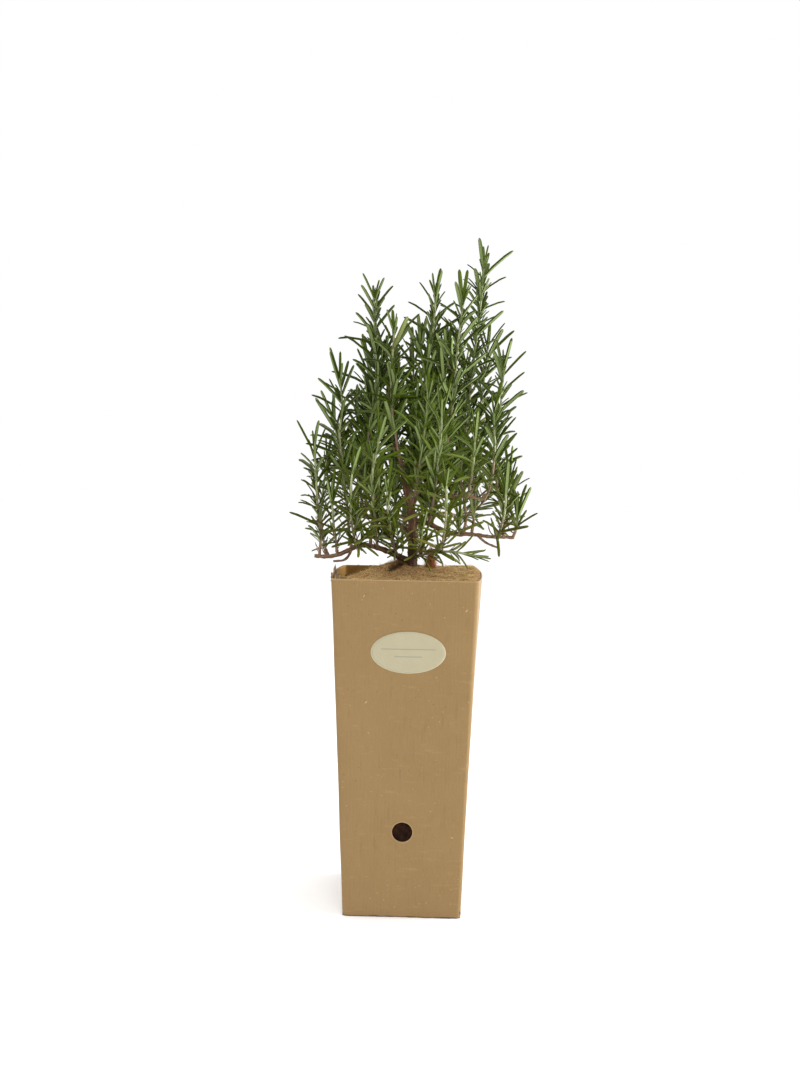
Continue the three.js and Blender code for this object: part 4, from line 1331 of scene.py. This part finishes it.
def needle_mesh(index, arch, plant):
    """A needle along Z that arches towards -Y: grooved above, rolled in and pale below."""
    half = [  # across, up, underside, middle: from the groove above round to the felt below
        (0.0, 0.14, 0, 1), (0.27, 0.30, 0, 0), (0.5, 0.03, 0, -1), (0.44, -0.24, 0, -1),
        (0.29, -0.24, 1, 0), (0.0, -0.12, 1, 0)]
    section = half + [(-x, y, below, inner) for x, y, below, inner in reversed(half[1:-1])]
    rings = [(0.0, 0.48), (0.10, 0.74), (0.34, 1.0), (0.74, 0.98), (0.93, 0.82), (0.985, 0.50)]
    length, width = plant.needle_length, plant.needle_width
    points, along, under, middle = [], [], [], []
    spine, last, fine = [], Vector((0, 0, 0)), 40
    for i in range(fine + 1):
        spine.append(last.copy())
        angle = arch * (i / fine) ** 0.9
        last += Vector((0, -math.sin(angle), math.cos(angle))) * (length / fine)
    for share, breadth in rings:
        angle = arch * share ** 0.9
        centre = spine[round(share * fine)]
        up = Vector((0, math.cos(angle), math.sin(angle)))
        for x, y, below, inner in section:
            points.append(centre + Vector((x * width * breadth, 0, 0)) + up * (y * width * breadth))
            along.append(share)
            under.append(below)
            middle.append(inner)
    points.append(spine[-1])
    along.append(1)
    under.append(0)
    middle.append(0)
    sides = len(section)
    faces = [tuple(reversed(face)) for face in grid_faces(len(rings), sides, True)]
    end = (len(rings) - 1) * sides
    faces += [(end + (i + 1) % sides, end + i, len(points) - 1) for i in range(sides)]
    faces.append(tuple(range(sides)))
    mesh = plain_mesh(f"needle_{index}", points, faces)
    for name, values in (("needle_along", along), ("needle_under", under), ("needle_mid", middle),
                         ("leafy", [1.0] * len(points))):
        add_attribute(mesh, name, values)
    return smooth_shaded(mesh)


def shoot_tree():
    """Grows leafy stems along lines: pairs of needles, each pair a quarter turn on."""
    tree = GeometryGraph(
        "leafy_shoot", Needles="Collection", Stems="Int", Most_Pairs="Int", Spacing="Float", Lush="Float",
        Stem_Radius="Float", Tip_Radius="Float", Needle_Length="Float", Lowest="Vector", Highest="Vector",
        Stem_Material="Material", Leaf_Material="Material")
    given, draw, smooth, blend = tree.given, tree.random, tree.smooth, tree.blend
    per_node = 8  # two long needles and up to six short ones from the buds in their axils
    lines = tree.field("GeometryNodeMeshToCurve", {"Mesh": given("Geometry")})

    # the stems, thinner where they are short
    run = tree.field("GeometryNodeSplineParameter", output="Factor")
    own_length = tree.field("GeometryNodeSplineLength")
    radius = blend(run, given("Stem Radius"), given("Tip Radius"))
    radius = radius * blend(smooth(own_length, 0.01, 0.06), 0.6, 1.0)
    stems = tree.tubes(tree.store(lines, "stem_along", run), 8, radius)

    # where the needles sit
    most = given("Most Pairs")
    index = tree.field("GeometryNodeInputIndex")
    member = tree.math("MODULO", index, per_node)
    node = tree.math("MODULO", tree.math("FLOOR", index / per_node), most)
    which = tree.math("FLOOR", index / (most * per_node))
    measured = tree.field("GeometryNodeSampleCurve", {
        "Curves": lines, 1: own_length, "Factor": 0.5, "Curve Index": which}, mode="FACTOR",
        data_type="FLOAT")
    spread = measured + EXTRA
    pairs = tree.math("MAXIMUM", tree.math("ROUND", spread / given("Spacing")), 5)
    even = spread * tree.math("MAXIMUM", (pairs - node - 0.6 + draw(-0.25, 0.25)) / pairs, 0.004)
    distance = tree.math("MINIMUM", even * even / (even + CROWDED), measured * 0.995)
    position, tangent, normal = tree.fields(
        ("Position", "Tangent", "Normal"), "GeometryNodeSampleCurve", {
            "Curves": lines, "Factor": 1 - distance / measured, "Curve Index": which}, mode="FACTOR",
        data_type="FLOAT")
    x, _, height = tree.axes(position)
    low = smooth(distance, -0.004, 0.026)
    short = member > 1.5

    # which way they point, and how long they are
    swing = draw(-0.4, 0.4) + short * draw(-0.9, 0.9)
    azimuth = node * (math.pi / 2) + member * math.pi + swing + distance * 24
    outward = tree.field("ShaderNodeVectorRotate", {"Vector": normal, "Axis": tangent, "Angle": azimuth},
                         rotation_type="AXIS_ANGLE")
    opening = blend(smooth(distance, -0.002, 0.024), 0.22, 0.76) + draw(-0.22, 0.20)
    opening = opening * (1 - short * 0.4) + short * draw(-0.12, 0.3)
    aim = tangent * tree.math("COSINE", opening) + outward * tree.math("SINE", opening)
    upper = tangent * tree.math("SINE", opening) - outward * tree.math("COSINE", opening)
    facing = tree.field("FunctionNodeAxesToRotation", {"Primary Axis": aim, "Secondary Axis": upper},
                        primary_axis="Z", secondary_axis="Y")
    facing = tree.turned(facing, tree.vector(z=draw(-0.35, 0.35)))
    grown = smooth(distance, -0.006, 0.015)
    size = blend(grown, 0.86, 1.12) * draw(0.64, 1.22) * (1 - short * draw(0.32, 0.68))
    size = size * blend(smooth(height, 0.352, 0.43), 0.74, 1.0) * given("Lush")

    # needles that point left arch more than those that point right
    leftward = 0 - tree.axes(outward)[0]
    arched = blend(low, 0.1, 2.2 + leftward * 0.9) * (1 - short * 0.6) + draw(-0.7, 2.0)

    # fewer short ones at the tip and at the crown's sides, none that reach out of the box
    points = tree.field("GeometryNodePoints", {
        "Count": most * per_node * given("Stems"), "Position": position})
    points = tree.store(tree.store(points, "youth", 1 - low), "tint", draw(0.0, 1.0))
    share = blend(smooth(distance, 0.01, 0.07), 0.66, 0.80)
    share = share - smooth(tree.math("ABSOLUTE", x), 0.05, 0.08) * 0.34
    share = share + blend(smooth(height, 0.36, 0.44), 0.2, 0.0) + smooth(height, 0.50, 0.58) * 0.2
    share = share * blend(smooth(distance, 0.010, 0.032), 0.25, 1.0)
    tip = position + (aim - upper * (arched * 0.1)) * (size * given("Needle Length"))
    held = tree.math("MAXIMUM", tree.math("MINIMUM", tip, given("Highest")), given("Lowest"))
    kept = ((short * draw(0.0, 1.0)) < share) * (node < pairs) * (tree.distance(tip, held) < 0.0001)
    thick = size * blend(smooth(height, 0.47, 0.58), 1.0, 1.22)
    needles = tree.field("GeometryNodeInstanceOnPoints", {
        "Points": points, "Selection": kept, "Instance": tree.shapes("Needles"), "Pick Instance": True,
        "Instance Index": arched, "Rotation": facing, "Scale": tree.vector(thick, size, size)})
    joined = tree.node("GeometryNodeJoinGeometry")
    for part in (needles, stems):
        tree.tree.links.new(part.socket, joined.inputs[0])
    return tree.end(Field(tree, joined.outputs[0]), {"Stem Material": None, "Leaf Material": "leafy"})


def sprays_on(line, seed, start, end):
    """Short side twigs off a stem, on the side that faces the middle of the crown."""
    drawn = random.Random(seed)
    runs = stretch(line, start, end, 34)[:-1] if length_of(line) > start - end + 20 else []
    sprays = []
    for foot in runs:
        nearest = min(range(1, len(line)), key=lambda i: (line[i] - foot).length)
        along = (line[nearest] - line[nearest - 1]).normalized()
        inward = Vector((drawn.uniform(-30, 30) - foot.x, drawn.uniform(-30, 30) - foot.y, 0))
        inward = (inward - along * inward.dot(along)).normalized()
        tilt, length = drawn.uniform(0.45, 0.8), drawn.uniform(17, 30)
        first = along * math.cos(tilt) + inward * math.sin(tilt)
        last = along * math.cos(tilt * 0.35) + inward * math.sin(tilt * 0.35)
        middle = foot + first * length * 0.5
        sprays.append(stretch(curve_points([foot, middle, middle + last * length * 0.5]), 0, 0, 4))
    return sprays


def leaf_material(plant):
    """Needles: dark glossy upper sides, a paler groove, felted pale undersides."""
    leaf = Shader("rosemary_leaf", Specular_IOR_Level=0.06)
    dark, light, young, felt = (tuple(getattr(plant, "leaf_" + part))
                                for part in ("dark", "light", "young", "under"))
    tint, youth, along, under, middle = (
        leaf.attribute(name) for name in ("tint", "youth", "needle_along", "needle_under", "needle_mid"))
    x, y, height = leaf.axes(leaf.place())
    from_middle = ((x - 0.008) ** 2 + y ** 2) ** 0.5
    # painted shade: needles darker towards the crown's rim and its top, with less olive and felt there
    outer = leaf.smooth(from_middle + leaf.math("MAXIMUM", height - 0.46, 0) * 0.7, 0.045, 0.095)
    shaded = 1 - leaf.smooth(height, 0.36, 0.48)
    needle = leaf.layers(
        dark,
        (leaf.smooth(tint, 0.1, 1.0), light),
        (outer * 0.86, tone(dark, 0.28)),
        (shaded * leaf.blend(tint, 0.25, 0.85) * leaf.blend(outer, 1, 0.5), srgb(108, 92, 42)),
        (leaf.smooth(youth, 0.3, 1.0) * 0.8, young),
        # painted shade along the needles' rolled margins
        (leaf.smooth(0 - middle, 0.1, 0.9) * 0.6, tone(dark, 0.25)),
        (leaf.smooth(middle, 0.1, 0.9) * 0.35, young),
        ((1 - leaf.smooth(along, 0.02, 0.14)) * 0.7, srgb(128, 138, 84)),
        ((tint > 0.997) * 0.5, srgb(142, 132, 56)),
        (leaf.smooth(under, 0.35, 0.8) * leaf.blend(outer, 0.9, 0.7), felt))
    return leaf.finished(needle, leaf.noise(0.0007, detail=2), 0.00008,
                         leaf.blend(leaf.smooth(under, 0.3, 0.9), 0.42, 0.85))


def stem_material():
    """Young stems: brown at the foot, then pale felted green towards the tip."""
    stem = Shader("rosemary_stem", Roughness=0.75, Sheen_Weight=0.25)
    mottled = stem.mix(stem.noise(0.006, (1, 1, 0.4), detail=4), srgb(104, 80, 58), srgb(150, 128, 100))
    green = stem.mix(stem.noise(0.004), srgb(134, 142, 92), srgb(164, 168, 124))
    turning = stem.smooth(stem.attribute("stem_along") + (stem.noise(0.02) - 0.5) * 0.3, 0.25, 0.75)
    return stem.finished(stem.mix(turning, mottled, green), stem.noise(0.0008, (1, 1, 0.4), detail=3), 0.0002)


class ROSEMARY_OT_shoots(bpy.types.Operator):
    """Grows the leafy shoots, one piece for each"""

    bl_idname = "rosemary.shoots"
    bl_label = "Leafy shoots"

    def execute(self, context):
        plant = context.scene.rosemary_plant
        tree = shoot_tree()
        leaf, green = leaf_material(plant), stem_material()
        needles = variant_collection("needles", [
            needle_mesh(i, arch, plant) for i, arch in enumerate((0.03, 0.20, 0.38, 0.60, 0.90))])
        for number, shoot in enumerate(SHOOTS, 1):
            reach = plant.tip_reach / MM
            lines = [stretch(curve_points(shoot["route"]), shoot["bare"], -reach, 3)]
            if "side" in shoot:
                lines.append(stretch(curve_points(shoot["side"]), 0, -reach, 3))
            if abs(shoot["route"][-1][0]) < plant.spray_zone / MM:
                lines += sprays_on(lines[0], number, 6, -42)
            longest = max(length_of(line) for line in lines) * MM
            node = f"leafy_shoot_{number:02d}"
            mesh = tree.grow(
                route_mesh("stems", lines), node, Needles=needles, Stems=len(lines),
                Most_Pairs=max(5, round((longest + EXTRA) / plant.node_spacing)), Spacing=plant.node_spacing,
                Stem_Radius=plant.stem_radius, Tip_Radius=plant.tip_radius, Seed=number * 100,
                Needle_Length=plant.needle_length, Lowest=tuple(v - plant.overhang for v in CAD_BOX[0]),
                Highest=tuple(v + plant.overhang * k for v, k in zip(CAD_BOX[1], (2.2, 1, 1.4))),
                Lush=shoot.get("lush", 1.0), Stem_Material=green, Leaf_Material=leaf)
            show(f"rosemary_shoot_{number:02d}", smooth_shaded(mesh), "foliage", node)
        discard(needles)
        return {"FINISHED"}


# ------------------------------------------------------------------ stage


def floor_mesh(radius=9.0, sides=96):
    """A wide round floor that runs out into the pale surroundings."""
    points = [(radius * math.cos(2 * math.pi * i / sides), radius * math.sin(2 * math.pi * i / sides), 0)
              for i in range(sides)]
    return plain_mesh("floor", points, [tuple(range(sides))])


class ROSEMARY_OT_stage(bpy.types.Operator):
    """Sets the floor, the lights and the camera"""

    bl_idname = "rosemary.stage"
    bl_label = "Stage"

    def execute(self, context):
        stage = context.scene.rosemary_stage
        pale = Shader("pale_floor", Roughness=0.9, Base_Color=(*stage.floor, 1), Emission_Strength=0.05,
                      Emission_Color=(1, 1, 1, 1))
        floor = in_scene("floor", floor_mesh())
        floor.data.materials.append(pale.material)

        world = bpy.data.worlds.new("soft_surround")
        world.use_nodes = True
        sky = next(n for n in world.node_tree.nodes if n.type == "BACKGROUND")
        sky.inputs["Color"].default_value = (1, 1, 1, 1)
        sky.inputs["Strength"].default_value = 1.0
        context.scene.world = world
        crown = Vector((0, 0, 0.36))
        for name, place, size, power in (
            ("key", (0.3, -2.0, 1.3), 1.2, 12), ("side", (1.7, 0.1, 0.7), 0.7, 36),
            ("back", (-0.5, 1.5, 1.8), 1.2, 7),
        ):
            light = bpy.data.lights.new(name, "AREA")
            light.shape = "DISK"
            light.size = size
            light.energy = power
            lamp = in_scene(name, light)
            away = Vector(place)
            lamp.matrix_world = (Matrix.Translation(away)
                                 @ (crown - away).to_track_quat("-Z", "Y").to_matrix().to_4x4())
        context.scene.view_settings.view_transform = "Standard"
        self.place_camera(context, stage)
        return {"FINISHED"}

    @staticmethod
    def place_camera(context, stage):
        """A camera at the photograph's angle: turned left, tilted down and rolled a little."""
        data = bpy.data.cameras.new("camera")
        data.sensor_width = 36
        data.lens = stage.lens
        camera = in_scene("camera", data)
        turn = (Matrix.Rotation(stage.yaw, 4, "Z") @ Matrix.Rotation(math.pi / 2 - stage.pitch, 4, "X")
                @ Matrix.Rotation(stage.roll, 4, "Z"))
        camera.matrix_world = Matrix.Translation(stage.camera_place) @ turn
        context.scene.camera = camera


# ------------------------------------------------------------------ the add-on


class ROSEMARY_PT_panel(bpy.types.Panel):
    """Lists the steps in the sidebar"""

    bl_idname = "ROSEMARY_PT_panel"
    bl_label = "Potted rosemary"
    bl_space_type = "VIEW_3D"
    bl_region_type = "UI"
    bl_category = "Rosemary"

    def draw(self, context):
        for step in STEPS:
            self.layout.operator(step.bl_idname)


STEPS = (ROSEMARY_OT_stage, ROSEMARY_OT_pot, ROSEMARY_OT_label, ROSEMARY_OT_ground, ROSEMARY_OT_wood,
         ROSEMARY_OT_shoots)
SETTINGS = {"rosemary_pot": PotSettings, "rosemary_ground": GroundSettings,
            "rosemary_plant": PlantSettings, "rosemary_stage": StageSettings}


def register():
    for each in (*SETTINGS.values(), *STEPS, ROSEMARY_PT_panel):
        bpy.utils.register_class(each)
    for name, group in SETTINGS.items():
        setattr(bpy.types.Scene, name, PointerProperty(type=group))


def unregister():
    for name in SETTINGS:
        delattr(bpy.types.Scene, name)
    for each in (ROSEMARY_PT_panel, *reversed(STEPS), *reversed(list(SETTINGS.values()))):
        bpy.utils.unregister_class(each)


def main():
    register()
    for step in STEPS:
        group, name = step.bl_idname.split(".")
        getattr(getattr(bpy.ops, group), name)()


if __name__ == "__main__":
    main()
